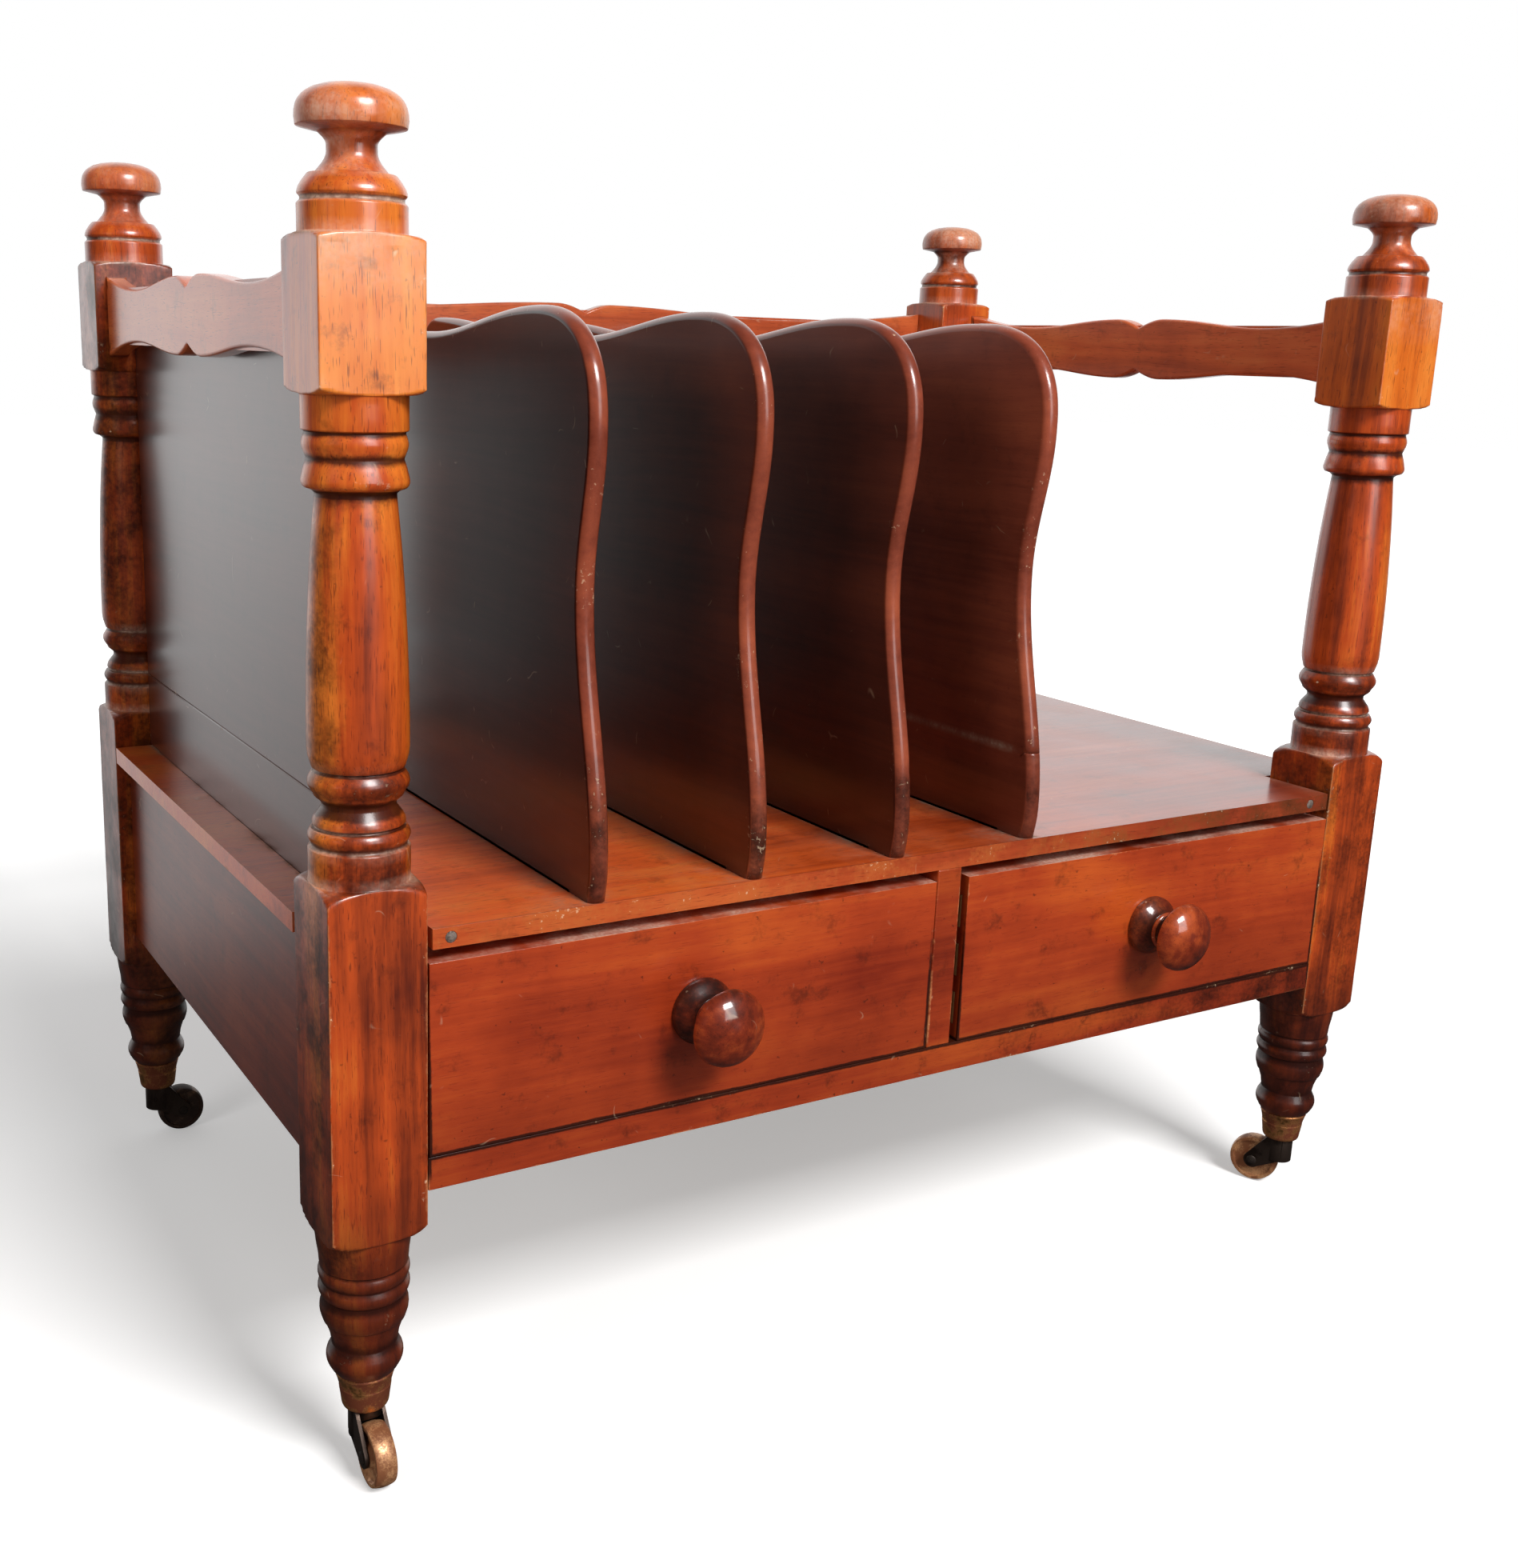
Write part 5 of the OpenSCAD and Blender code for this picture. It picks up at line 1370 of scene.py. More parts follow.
@dataclass
class Rails:
    """The three shaped rails between the tops of the posts."""

    end: float = 0.0188
    dip: float = 0.0118
    hump: float = 0.0165
    hump_at: float = 0.0175
    side_dip_at: float = 0.087
    back_dip_at: float = 0.127
    level: float = 0.44275
    thickness: float = 0.0093
    tenon: float = 0.012
    tenon_t: float = 0.005
    tenon_h: float = 0.026
    rounding: tuple[float, float] = (0.0016, 0.0014)
    steps: int = 9

    def half_height(self, at: float, span: float, dip_at: float) -> float:
        """Returns half the rail's height at a distance from its middle."""
        if at >= dip_at:
            return self.dip + (self.end - self.dip) * ((at - dip_at) / (span - dip_at)) ** 2
        if at >= self.hump_at:
            return ease(self.hump, self.dip, (at - self.hump_at) / (dip_at - self.hump_at))
        return self.dip + (self.hump - self.dip) * math.sin(math.pi / 2 * at / self.hump_at)

    def outline(self, span: float, dip_at: float) -> list[Point]:
        """Returns the rail's outline about its middle, clockwise."""
        rising, falling = (self.hump_at + dip_at) / 2, (dip_at + span) / 2
        stops = [0.0, self.hump_at / 2, self.hump_at, rising, dip_at, falling, span]
        steps = self.steps
        half = [a + (b - a) * k / steps for a, b in zip(stops, stops[1:]) for k in range(steps)] + [span]
        line = [-u for u in reversed(half[1:])] + half
        top = [(u, self.half_height(abs(u), span, dip_at)) for u in line]
        return top + [(u, -h) for u, h in reversed(top)]

    def build(self, shop: Workshop) -> None:
        """Makes the side rails and the back rail."""
        board = ShapedBoard(self.thickness, *self.rounding)
        plans = (
            ("rail_left", 1, self.side_dip_at, "rail_mahogany"),
            ("rail_right", 1, self.side_dip_at, "rail_mahogany"),
            ("rail_back", 0, self.back_dip_at, "back_rail_mahogany"),
        )
        for node, lengthwise, dip_at, finish in plans:
            crosswise = 1 - lengthwise
            low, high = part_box(node)
            centre = (low + high) / 2
            span = (high[lengthwise] - low[lengthwise]) / 2 - self.tenon
            outline = self.outline(span, dip_at)
            square = [abs(abs(u) - span) < SAME for u, _ in outline]
            turn = Matrix.Rotation(math.pi / 2 * crosswise, 4, "Z")
            place = Matrix.Translation((centre.x, centre.y, self.level)) @ turn
            mesh = board.mesh(node, outline, square, place, shop.finishes[finish])
            tenon_low, tenon_high = low.copy(), high.copy()
            tenon_low[crosswise] = centre[crosswise] - self.tenon_t / 2
            tenon_high[crosswise] = centre[crosswise] + self.tenon_t / 2
            tenon_low.z, tenon_high.z = self.level - self.tenon_h / 2, self.level + self.tenon_h / 2
            add_box(mesh, tenon_low, tenon_high)
            shop.finish(mesh, f"{node}_shaped", "frame", "rail_mahogany", node)


@dataclass
class Dividers:
    """The upright dividers with their waisted, rounded edges; the last stands on a glued foot board."""

    # painted light on each divider's faces at the toe and the crest: more on the right-hand ones, which more
    # light reaches
    PALENESS: ClassVar = ((0.0, 0.0), (0.0, 0.25), (0.0, 0.4), (0.3, 1.0), (0.3, 1.0))

    middle_y: float = 0.0145
    deck_z: float = 0.2272
    toe_y: float = 0.184
    toe_in: float = 0.002
    toe_h: float = 0.014
    waist_h: float = 0.118
    bulge_out: float = 0.008
    front_bulge_y: float = 0.176
    rear_bulge_y: float = 0.16855
    front_corner: float = 0.051
    rear_corner: float = 0.024
    corner_h: float = 0.045
    height: float = 0.2226
    rear_drop: float = 0.0015
    dip_drop: float = 0.0103
    dip_front_y: float = 0.020
    dip_rear_y: float = 0.025
    corner_power: float = 2.5
    thickness: float = 0.008
    foot_board: float = 0.0388
    housing_y: float = 0.165
    housing_d: float = 0.003
    rounding: tuple[float, float] = (0.0038, 0.0034)
    edge_steps: int = 7
    edge_share: float = 0.46
    # painted light on the rounded front edges, which face the lamps
    edge_paleness: float = 0.75
    seam_dust: float = 1.2
    seam_reach: float = 0.0012
    housing_rise: float = 0.001
    dents: Dents = Dents(150.0, 0.0018, 0.0005)
    first_seed: int = 31
    # painted shade on the edges at the toes, where they meet the deck
    toe_shade: float = 0.34
    toe_shade_h: tuple[float, float] = (0.03, 0.055)
    steps: int = 26

    def edge(self, bulge_y: float, corner: float, top: float) -> list[Point]:
        """Lays out one edge from toe to crest.

        Args:
            bulge_y: the distance of the bulge from the middle.
            corner: the width of the rounded top corner.
            top: the height of the crest.

        Returns:
            Points as distance from the middle and height.
        """
        bulge_h = self.height - self.corner_h
        waist_y = bulge_y - self.bulge_out
        power = 2 / self.corner_power
        shares = [k / self.steps for k in range(self.steps + 1)]
        toe = [(self.toe_y - self.toe_in * (1 - sine(s)), self.toe_h * s) for s in (0, 0.25, 0.5, 0.75)]
        lower = [(ease(self.toe_y, waist_y, s), self.toe_h + (self.waist_h - self.toe_h) * s) for s in shares]
        upper = [(ease(waist_y, bulge_y, s), self.waist_h + (bulge_h - self.waist_h) * s) for s in shares[1:]]
        round_top = [(bulge_y - corner * (1 - cosine(s) ** power),
                      bulge_h + (top - bulge_h) * sine(s) ** power) for s in shares[1:]]
        return toe + lower + upper + round_top

    def outline(self) -> list[Point]:
        """Returns the whole outline, from the front toe over the crests to the rear toe."""
        rear_h, dip_h = self.height - self.rear_drop, self.height - self.dip_drop
        front = self.edge(self.front_bulge_y, self.front_corner, self.height)
        rear = self.edge(self.rear_bulge_y, self.rear_corner, rear_h)
        front_crest = self.front_bulge_y - self.front_corner
        rear_crest = self.rear_bulge_y - self.rear_corner
        count = self.steps
        down = [(-front_crest + (front_crest - self.dip_front_y) * k / count,
                 ease(self.height, dip_h, k / count)) for k in range(1, count + 1)]
        up = [(self.dip_rear_y + (rear_crest - self.dip_rear_y) * k / count,
               ease(dip_h, rear_h, k / count)) for k in range(count)]
        return [(-y, z) for y, z in front] + down + up + list(reversed(rear))

    def cut(self, above: bool) -> list[Point]:
        """Returns the part of the outline above or below the foot board's seam."""
        line = self.outline()
        kept = []
        for (y0, z0), (y1, z1) in zip(line, line[1:] + line[:1]):
            if (z0 >= self.foot_board) == above:
                kept.append((y0, z0))
            if (z0 - self.foot_board) * (z1 - self.foot_board) < 0:
                share = (self.foot_board - z0) / (z1 - z0)
                kept.append((y0 + (y1 - y0) * share, self.foot_board))
        return kept

    def on_edge(self, places: np.ndarray, x: float) -> np.ndarray:
        """Returns which places lie on the rounded edge of the divider at x."""
        return np.abs(places[:, 0] - x) < self.edge_share * self.thickness

    def painted_light(self, places: np.ndarray, x: float, ends: tuple[float, float]) -> np.ndarray:
        """Finds how much light is painted on a divider.

        Args:
            places: the places on it.
            x: where it stands.
            ends: how much light is painted on its faces at the toe and at the crest.

        Returns:
            The share for each place, from 0 to 1.
        """
        face = np.clip(ends[0] + (ends[1] - ends[0]) * (places[:, 2] - self.deck_z) / self.height, 0.0, 1.0)
        return np.maximum(face, self.edge_paleness * self.on_edge(places, x))

    def shaded_toes(self, places: np.ndarray, x: float, hollow: np.ndarray) -> np.ndarray:
        """Finds the painted shade on a divider: its edge is darkened at the toes, by the deck, and left clean
        higher up.

        Args:
            places: the places on it.
            x: where it stands.
            hollow: how grimy its hollows are.

        Returns:
            The new value for each place.
        """
        low, high = self.toe_shade_h
        toe = self.toe_shade * rise(places[:, 2], self.deck_z + high, self.deck_z + low)
        return np.maximum(hollow, toe * self.on_edge(places, x))

    def build(self, shop: Workshop) -> None:
        """Makes the three whole dividers, and the last one with its foot board."""
        finish = shop.finishes["divider_mahogany"]
        board = ShapedBoard(self.thickness, *self.rounding, self.edge_steps)
        pieces = [(f"divider_{i}", self.outline()) for i in (1, 2, 3)]
        pieces += [("divider_4", self.cut(True)), ("divider_foot_board", self.cut(False))]
        for count, (node, outline) in enumerate(pieces):
            low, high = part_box(node)
            x = (low.x + high.x) / 2
            square = [z < SAME or abs(z - self.foot_board) < SAME for _, z in outline]
            place = Matrix.Translation((x, self.middle_y, self.deck_z))
            mesh = board.mesh(node, outline, square, place, finish)
            mesh = shop.lathe.dent(mesh, finish, self.dents, self.first_seed + count)
            # painted light on the faces and edges, and painted shade on the toes
            store(mesh, "pale", lambda places: self.painted_light(places, x, self.PALENESS[count]))
            alter(mesh, "hollow", lambda places, hollow: self.shaded_toes(places, x, hollow))
            if node in ("divider_4", "divider_foot_board"):
                seam = self.deck_z + self.foot_board
                store(mesh, "near", lambda places: self.seam_dust * (
                    np.abs(places[:, 2] - seam) < self.seam_reach))
            if node != "divider_4":
                half = self.thickness / 2
                add_box(mesh, (x - half, self.middle_y - self.housing_y, self.deck_z - self.housing_d),
                        (x + half, self.middle_y + self.housing_y, self.deck_z + self.housing_rise))
            shop.finish(mesh, f"{node}_shaped", "frame", "divider_mahogany", node)


@dataclass
class Case:
    """The deck, the end panel, the aprons and the bars round the drawers."""

    dust_reach: float = 0.016
    rounded: float = 0.0009
    # painted light on the deck: full left of the first x, none right of the second
    deck_light_x: tuple[float, float] = (-0.12, 0.16)
    toe_dust_y: float = -0.1
    dust_line: float = 0.0022
    toe_reach: float = 0.05
    toe_x: float = 0.004
    foot_dust: tuple[float, float] = (0.6, 2.6)
    toe_dust: tuple[float, float] = (0.4, 1.5)
    corner_dust: float = 1.3
    post_dust: tuple[float, float] = (0.6, 2.0)
    # the share of the deck's painted light on its front edge
    edge_light: float = 0.3
    gap_line: float = 0.0006
    # the front edges darken from the first x to the second
    darker_right_x: tuple[float, float] = (-0.06, 0.2)

    def front_edge(self, places: np.ndarray) -> np.ndarray:
        """Returns which places lie as far forward as the deck's front edge."""
        return places[:, 1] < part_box("deck")[0].y + 2 * self.rounded

    def deck_light(self, places: np.ndarray) -> np.ndarray:
        """Returns how much light is painted on each place on the deck: more to the left, and less on its
        front edge.
        """
        left = rise(places[:, 0], *reversed(self.deck_light_x))
        return left * np.where(self.front_edge(places), self.edge_light, 1.0)

    def darker_right(self, places: np.ndarray) -> np.ndarray:
        """Returns how much the deck's or the drawer rail's front edge is darkened: more to the right."""
        return HALF_DIRTY * rise(places[:, 0], *self.darker_right_x) * self.front_edge(places)

    def near_uprights(self, places: np.ndarray) -> np.ndarray:
        """Returns how near each place on the deck lies to the foot of a divider, panel or post."""
        near = np.zeros(len(places))
        dust, fall = self.foot_dust
        toe_dust, toe_fall = self.toe_dust
        for node in ("divider_1", "divider_2", "divider_3", "divider_foot_board", "end_panel_lower"):
            low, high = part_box(node)
            gap = np.maximum(np.maximum(low.x - places[:, 0], places[:, 0] - high.x), 0.0)
            ahead = rise(places[:, 1], self.toe_dust_y, self.toe_dust_y - self.toe_reach)
            ahead = ahead * (places[:, 0] < low.x + self.toe_x)
            around = np.exp(-gap / self.dust_reach * (fall - toe_fall * ahead)) * (dust + toe_dust * ahead)
            corner = self.corner_dust * np.exp(-(gap / self.dust_line) ** 2)
            near = np.maximum.reduce([near, around, corner])
        dust, fall = self.post_dust
        for corner in CORNERS:
            low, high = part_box(f"post_{corner}")
            gap_x = np.maximum(np.maximum(low.x - places[:, 0], places[:, 0] - high.x), 0.0)
            gap_y = np.maximum(np.maximum(low.y - places[:, 1], places[:, 1] - high.y), 0.0)
            near = np.maximum(near, np.exp(-np.hypot(gap_x, gap_y) / self.dust_reach * fall) * dust)
        return near * (places[:, 1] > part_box("deck")[0].y + self.rounded)

    def build(self, shop: Workshop) -> None:
        """Makes the case's boards and repaints the runners that the drawers hide."""
        deck = Softened(self.rounded, rim=0.002, cells=0.003)
        mesh = deck.mesh("deck", shop.finishes["deck_mahogany"])
        store(mesh, "near", self.near_uprights)
        # painted light on the deck's left part
        store(mesh, "pale", self.deck_light)
        store(mesh, "hollow", self.darker_right)
        shop.finish(mesh, "deck_board", "frame", "deck_mahogany", "deck")
        plans = [
            ("apron_left", "apron_mahogany", "apron_mahogany", 0.0008),
            ("apron_right", "apron_mahogany", "apron_mahogany", 0.0008),
            ("apron_back", "back_apron_mahogany", "apron_mahogany", 0.0008),
            ("drawer_rail", "front_bar_mahogany", "front_mahogany", 0.001),
            ("drawer_stile", "front_bar_mahogany", "front_mahogany", 0.0007),
            ("end_panel_upper", "panel_mahogany", "panel_mahogany", 0.0006),
            ("end_panel_lower", "panel_mahogany", "panel_mahogany", 0.0006),
        ]
        for node, finish, slot, rounding in plans:
            cells = 0.02 if node == "drawer_rail" else 0.0
            mesh = Softened(rounding, cells=cells).mesh(node, shop.finishes[finish])
            if node == "drawer_rail":
                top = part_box(node)[1].z
                store(mesh, "hollow", lambda places: np.maximum(
                    places[:, 2] > top - self.gap_line, self.darker_right(places)))
            shop.finish(mesh, f"{node}_board", "frame", slot, node)
        for place in ("left", "right", "centre"):
            shop.repaint(f"runner_{place}", "carcase_pine")
            shop.repaint(f"guide_{place}", "carcase_pine")

    def nails(self, shop: Workshop) -> None:
        """Makes the two nails in the deck's front edge."""
        finish = shop.finishes["nail_iron"]
        low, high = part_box("deck_nails")
        radius = (high.z - low.z) / 2
        centre_z = (high.z + low.z) / 2
        point_r, shank_r, length, point = 0.0004, 0.001, 0.021, 0.003
        line = Outline(0.0, -length).to(point_r).to(shank_r, point).to(shank_r, length - point - 0.0005)
        line.to(radius, 0.0001).to(radius, 0.0004).dome(radius, 0.0003, 2.2)
        turn = Matrix.Rotation(math.pi / 2, 4, "X")
        work = bmesh.new()
        for x in (low.x + radius, high.x - radius):
            mesh = shop.lathe.turn(line, finish, Cut(softness=0.00005, fine=0.0001, coarse=0.003))
            mesh.transform(Matrix.Translation((x, low.y + 0.0003, centre_z)) @ turn)
            work.from_mesh(mesh)
        made = bpy.data.meshes.new("deck_nails")
        work.to_mesh(made)
        work.free()
        made.materials.append(finish)
        shop.finish(made, "deck_nails_driven", "frame", "nail_iron", "deck_nails")


@dataclass
class Drawers:
    """The two drawers: lapped fronts, dovetailed oak boxes, pine bottoms and turned knobs."""

    spigot_r: float = 0.005
    front_t: float = 0.018
    rose_r: float = 0.014
    rose_h: float = 0.009
    edge_h: float = 0.0015
    neck_r: float = 0.0075
    neck_h: float = 0.007
    ring_h: float = 0.0025
    head_r: float = 0.0162
    head_h: float = 0.014
    head_widest: float = 0.3
    button_r: float = 0.0042
    button_h: float = 0.0004
    rose_dirt: float = 0.42
    gap_line: float = 0.001
    cut: Cut = Cut(0.00025, coarse=0.002, rub=0.35)
    dents: Dents = Dents(1500.0, 0.0012, 0.0002)
    first_seed: int = 51

    def knob_outline(self) -> Outline:
        """Returns a knob's outline: spigot, rose, ring, neck and domed head with a small button."""
        line = Outline(0.0, -self.front_t).to(self.spigot_r).to(self.spigot_r, self.front_t).to(self.rose_r)
        line.to(self.rose_r, self.edge_h).slope(self.rose_r, self.neck_r + 0.001, self.rose_h - self.edge_h)
        line.bead(self.neck_r + 0.0005, 0.001, self.ring_h)
        widest = self.rose_h + self.neck_h + self.head_h * self.head_widest
        line.flare(self.neck_r, self.head_r, widest - line.height)
        dome = self.head_h * (1 - self.head_widest)

        def up(t: float) -> float:
            """Returns the share of the dome's height, a step lower outside the button."""
            sunk = self.button_h if self.head_r * cosine(t) > self.button_r else 0.0
            return (sine(t) * dome - sunk * sine(t)) / dome
        return line.curve(dome, lambda t: self.head_r * cosine(t), up)

    def build(self, shop: Workshop) -> None:
        """Makes both drawers and their knobs."""
        for seed, side in enumerate(SIDES, self.first_seed):
            body = f"drawer_{side}"
            node = f"{body}_front"
            mesh = Softened(0.0009, rim=0.0016, cells=0.012).mesh(node, shop.finishes["front_mahogany"])
            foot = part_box(node)[0].z
            store(mesh, "hollow", lambda places: places[:, 2] < foot + self.gap_line)
            shop.finish(mesh, f"{node}_board", body, "front_mahogany", node)
            for part in ("side_left", "side_right", "back"):
                mesh = Softened(0.0006).mesh(f"{body}_{part}", shop.finishes["drawer_oak"])
                shop.finish(mesh, f"{body}_{part}_board", body, "drawer_oak", f"{body}_{part}")
            mesh = Softened(0.0004).mesh(f"{body}_bottom", shop.finishes["carcase_pine"])
            shop.finish(mesh, f"{body}_bottom_board", body, "carcase_pine", f"{body}_bottom")
            knob = f"knob_{side}"
            low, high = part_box(knob)
            finish = shop.finishes["knob_mahogany"]
            mesh = shop.lathe.turn(self.knob_outline(), finish, self.cut)
            mesh = shop.lathe.dent(mesh, finish, self.dents, seed)
            alter(mesh, "hollow", lambda places, held: np.maximum(
                held, self.rose_dirt * (places[:, 2] < self.rose_h)))
            face_y = high.y - self.front_t
            mesh.transform(Matrix.Translation(((low.x + high.x) / 2, face_y, (low.z + high.z) / 2))
                           @ Matrix.Rotation(math.pi / 2, 4, "X"))
            shop.finish(mesh, f"{knob}_turned", body, "knob_mahogany", knob)


@dataclass
class Casters:
    """The brass casters: cup, riveted swivel fork, axle and wheel at each corner."""

    cup_z: float = 0.0285
    cup_h: float = 0.0155
    cup_r: float = 0.0116
    low_r: float = 0.0094
    base_r: float = 0.008
    wall: float = 0.0012
    floor: float = 0.0015
    hole_r: float = 0.00255
    rounded_h: float = 0.0025
    wheel_r: float = 0.0125
    wheel_w: float = 0.0084
    axle_r: float = 0.0016
    hub_r: float = 0.0046
    rim_t: float = 0.0026
    recess: float = 0.0013
    half_axle: float = 0.00615
    rivet_r: float = 0.0026
    rivet_t: float = 0.0008
    band_r: float = 0.0009
    lip_r: float = 0.0003
    lip_h: float = 0.0015
    hub_slope: float = 0.0006
    rim_slope: float = 0.0003
    crown: float = 0.0007
    play: float = 0.00005
    cup_cut: Cut = Cut(0.00012, 0.0002, 0.0015)
    axle_cut: Cut = Cut(0.00008, 0.00015, 0.002)
    wheel_cut: Cut = Cut(0.00012, 0.0002, 0.001)

    def cup_outline(self) -> Outline:
        """Returns the cup's closed outline, with a rolled lip and two fine rings."""
        line = Outline(self.hole_r, self.cup_z).to(self.base_r)
        line.curve(self.rounded_h, lambda t: self.base_r + (self.low_r - self.base_r) * sine(t),
                   lambda t: 1 - cosine(t))
        rest = self.cup_h - self.rounded_h
        line.to(self.low_r + self.band_r, rest * 0.5).to(self.low_r + 0.0007, 0.0003)
        line.to(self.cup_r - self.lip_r, rest * 0.5 - 0.0018)
        line.bead(self.cup_r - self.lip_r, self.lip_r, self.lip_h)
        line.to(self.cup_r - self.wall)
        line.to(self.low_r - self.wall, self.floor - self.cup_h)
        return line.to(self.hole_r).to(self.hole_r, -self.floor)

    def wheel_outline(self) -> Outline:
        """Returns the wheel's closed outline about its axle, with a crowned tread."""
        half = self.wheel_w / 2
        bore, web = self.axle_r + self.play, self.hub_r + self.hub_slope
        rim = self.wheel_r - self.rim_t
        line = Outline(bore, -half).to(self.hub_r).to(web, self.recess)
        line.to(rim).to(rim + self.rim_slope, -self.recess)
        line.curve(self.wheel_w, lambda t: self.wheel_r - self.crown * (2 * t - 1) ** 2)
        line.to(rim + self.rim_slope).to(rim, -self.recess)
        return line.to(web).to(self.hub_r, self.recess).to(bore).to(bore, -self.wheel_w)

    def axle_outline(self) -> Outline:
        """Returns the axle's outline with a riveted head at each end."""
        half = self.half_axle
        line = Outline(0.0, -half - self.rivet_t)
        line.curve(self.rivet_t, lambda t: self.rivet_r * sine(t),
                   lambda t: 1 - cosine(t))
        line.to(self.axle_r).to(self.axle_r, 2 * half).to(self.rivet_r)
        return line.dome(self.rivet_r, self.rivet_t, 2.0)

    def build(self, shop: Workshop) -> None:
        """Makes the four casters."""
        lathe = shop.lathe
        for corner in CORNERS:
            cup, fork, axle, wheel = (f"caster_{part}_{corner}" for part in ("cup", "fork", "axle", "wheel"))
            mesh = lathe.turn(self.cup_outline(), shop.finishes["caster_brass"], self.cup_cut)
            mesh.transform(over(cup))
            shop.finish(mesh, f"{cup}_turned", "frame", "caster_brass", cup)
            mesh = Softened(0.00025, rim=0.0, segments=2).mesh(fork, shop.finishes["fork_brass"])
            shop.finish(mesh, f"{fork}_cast", f"caster_{corner}", "fork_brass", fork)
            stand = self.axle_place(wheel, axle)
            mesh = lathe.turn(self.axle_outline(), shop.finishes["axle_iron"], self.axle_cut)
            mesh.transform(stand)
            shop.finish(mesh, f"{axle}_riveted", f"caster_{corner}", "axle_iron", axle)
            # the back wheels take the darker brass, as painted shade
            finish = shop.finishes["wheel_brass" if corner.startswith("front") else "shaded_wheel_brass"]
            mesh = lathe.turn(self.wheel_outline(), finish, self.wheel_cut)
            mesh.transform(stand)
            shop.finish(mesh, f"{wheel}_turned", f"wheel_{corner}", "wheel_brass", wheel)

    @staticmethod
    def axle_place(wheel: str, axle: str) -> Matrix:
        """Finds the axle's centre and direction in the frame.

        Args:
            wheel: the wheel's node.
            axle: the axle's node.

        Returns:
            The matrix that takes the lathe's axis onto the axle.
        """
        low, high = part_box(wheel)
        places = np.array([v.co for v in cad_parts[axle].data.vertices])
        _, _, directions = np.linalg.svd(places - places.mean(0), full_matrices=False)
        turn = Vector((0.0, 0.0, 1.0)).rotation_difference(Vector(directions[0])).to_matrix().to_4x4()
        return Matrix.Translation((low + high) / 2) @ turn


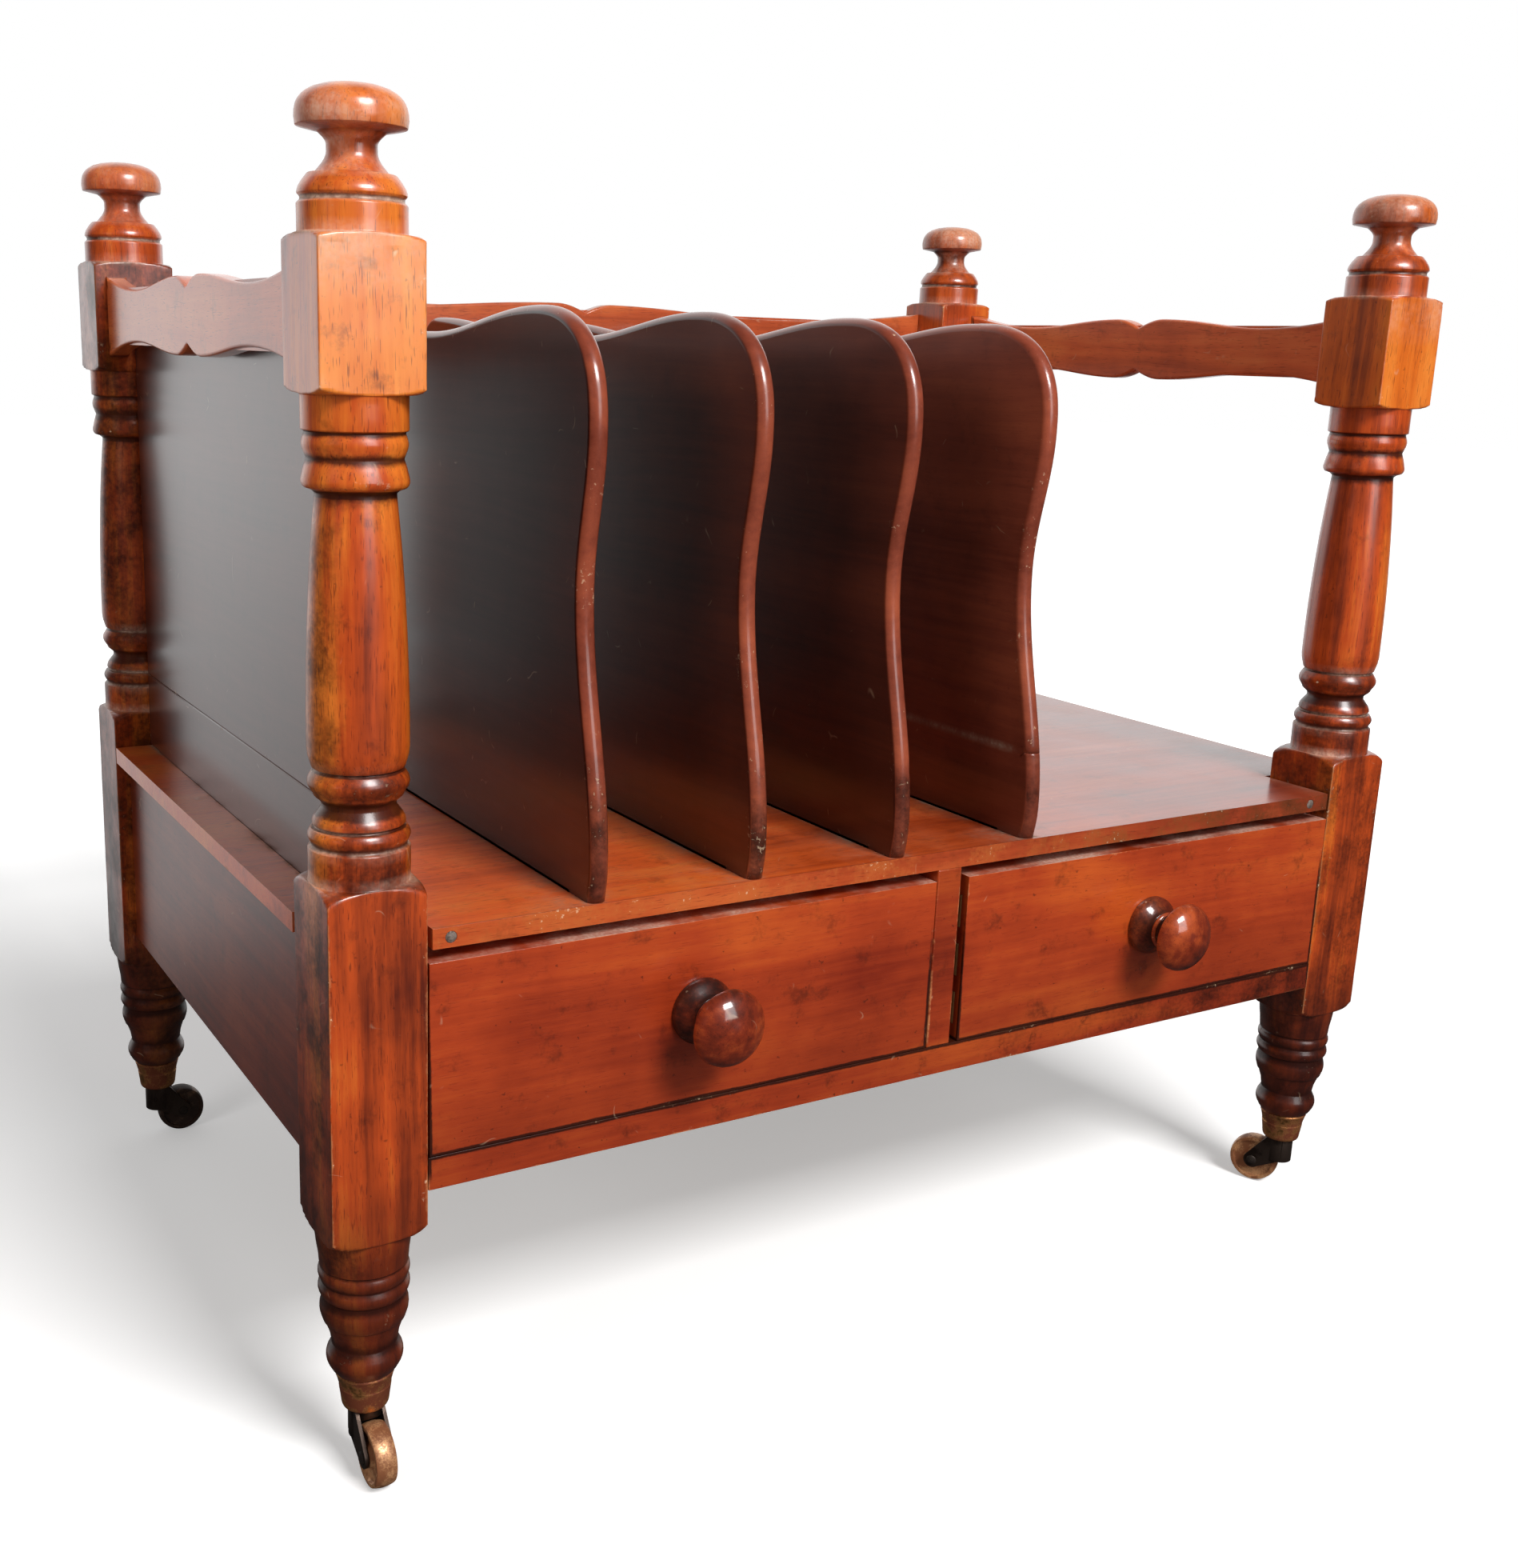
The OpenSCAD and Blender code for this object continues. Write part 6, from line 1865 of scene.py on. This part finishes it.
@dataclass
class Studio:
    """The pale floor, the soft light and the camera of the photograph."""

    image: tuple[int, int] = (1898, 1960)
    focal_px: float = 2109.38
    centre_px: tuple[float, float] = (801.88, 937.39)
    place: tuple[float, float, float] = (-0.46594, -0.70924, 0.43373)
    yaw: float = 0.5202
    pitch: float = 0.2321
    roll: float = 0.0288
    sensor: float = 36.0
    floor_half: float = 9.0
    toward: tuple[float, float, float] = (0.26, 0.966, 0.0)
    behind: tuple[float, float] = (0.35, 0.8)
    sheet_foot: tuple[float, float] = (-0.365, -0.305)
    sheet_rise: tuple[float, float, float, float] = (-0.3, 0.0, 0.47, 1.0)

    def camera(self) -> None:
        """Sets up the camera at the photograph's viewing angle."""
        data = bpy.data.cameras.new("camera")
        data.sensor_width = self.sensor
        longest = max(self.image)
        data.lens = self.sensor * self.focal_px / longest
        data.shift_x = (self.image[0] / 2 - self.centre_px[0]) / longest
        data.shift_y = (self.centre_px[1] - self.image[1] / 2) / longest
        ahead = Vector((math.sin(self.yaw), math.cos(self.yaw), 0.0))
        level_right = Vector((math.cos(self.yaw), -math.sin(self.yaw), 0.0))
        up = Vector((0.0, 0.0, 1.0))
        forward = ahead * math.cos(self.pitch) - up * math.sin(self.pitch)
        tilted_up = up * math.cos(self.pitch) + ahead * math.sin(self.pitch)
        right = level_right * math.cos(self.roll) + tilted_up * math.sin(self.roll)
        top = tilted_up * math.cos(self.roll) - level_right * math.sin(self.roll)
        turn = Matrix((right, top, -forward)).transposed().to_4x4()
        camera = link(bpy.data.objects.new("camera", data))
        camera.matrix_world = Matrix.Translation(self.place) @ turn
        bpy.context.scene.camera = camera

    @staticmethod
    def lamp(name: str, place: Sequence[float], aim: Sequence[float], size: tuple[float, float],
             power: float, mirrored: bool = True) -> None:
        """Hangs a rectangular lamp.

        Args:
            name: its name.
            place: where it hangs.
            aim: the point that it faces.
            size: its width and height.
            power: its power in watts.
            mirrored: whether polish and metal show it.
        """
        data = bpy.data.lights.new(name, "AREA")
        data.shape = "RECTANGLE"
        data.size, data.size_y = size
        data.energy = power
        lamp = link(bpy.data.objects.new(name, data))
        lamp.location = place
        lamp.rotation_mode = "QUATERNION"
        lamp.rotation_quaternion = (Vector(aim) - Vector(place)).to_track_quat("-Z", "Y")
        lamp.visible_glossy = mirrored

    def world(self) -> None:
        """Makes the room: white behind the object, dim in front, and white to the camera."""
        world = bpy.data.worlds.new("room")
        world.use_nodes = True
        bpy.context.scene.world = world
        wiring = Wiring(world.node_tree)
        world.node_tree.nodes.clear()
        path = wiring.node("ShaderNodeLightPath")
        direction = wiring.node("ShaderNodeTexCoord").outputs["Generated"]
        facing = wiring.node("ShaderNodeVectorMath", {0: direction, 1: self.toward}, operation="DOT_PRODUCT")
        behind = wiring.span(facing.outputs["Value"], *self.behind)
        low = wiring.span(wiring.axis(direction, "Z"), *self.sheet_foot)
        above = wiring.span(wiring.axis(direction, "Z"), *self.sheet_rise)
        sheet = wiring.times(wiring.times(behind, low), above)
        mirrored = wiring.times_plus(sheet, 1.12, 0.03)
        strength = wiring.times_plus(behind, 0.25, 0.2)
        for ray, value in (("Is Glossy Ray", mirrored), ("Is Camera Ray", 1.0)):
            strength = wiring.node("ShaderNodeMix", {0: path.outputs[ray], 2: strength, 3: value}).outputs[0]
        back = wiring.node("ShaderNodeBackground", {"Color": (1.0, 1.0, 1.0, 1.0), "Strength": strength})
        out = wiring.node("ShaderNodeOutputWorld")
        wiring.put(out.inputs["Surface"], back.outputs[0])

    def floor(self) -> None:
        """Lays the floor: pale to the camera, with the object's shadow on it."""
        half = self.floor_half
        mesh = bpy.data.meshes.new("floor")
        corners = [(-half, -half, 0), (half, -half, 0), (half, half, 0), (-half, half, 0)]
        mesh.from_pydata(corners, [], [(0, 1, 2, 3)])
        material, wiring, surface = new_material("floor_paper")
        seen = wiring.node("ShaderNodeLightPath").outputs["Is Camera Ray"]
        away = wiring.length(wiring.node("ShaderNodeTexCoord").outputs["Object"])
        far = wiring.span(away, 0.4, 1.3, 0.3, 1.0)
        for label, value in (
                ("Base Color", wiring.mix(seen, linear("#8c8784"), linear("#f6f5f4"))),
                ("Roughness", 1.0),
                ("Specular IOR Level", 0.0),
                ("Emission Color", (1.0, 1.0, 1.0, 1.0)),
                ("Emission Strength", wiring.times(seen, far))):
            wiring.put(surface.inputs[label], value)
        mesh.materials.append(material)
        ground = link(bpy.data.objects.new("floor", mesh))
        ground.visible_glossy = False

    def build(self) -> None:
        """Sets up the whole studio."""
        self.camera()
        self.world()
        self.floor()
        self.lamp("window", (0.2, -2.0, 2.05), (0.0, 0.0, 0.3), (0.9, 0.7), 62.0)
        self.lamp("pane", (0.3, -2.1, 1.15), (0.3, 0.0, 1.15), (0.9, 1.3), 13.0)
        self.lamp("wall", (-2.2, -0.9, 0.95), (0.1, 0.0, 0.4), (0.9, 0.9), 11.0, mirrored=False)
        bpy.context.scene.view_settings.view_transform = "Standard"


def main() -> None:
    """Builds the studio and every part of the canterbury, in order."""
    logging.basicConfig(level=logging.INFO, format="%(name)s: %(message)s")
    Studio().build()
    shop = Workshop()
    Posts().build(shop)
    Rails().build(shop)
    Dividers().build(shop)
    case = Case()
    case.build(shop)
    case.nails(shop)
    Drawers().build(shop)
    Casters().build(shop)
    LOG.info("%d pieces dressed", shop.count)


if __name__ == "__main__":
    main()
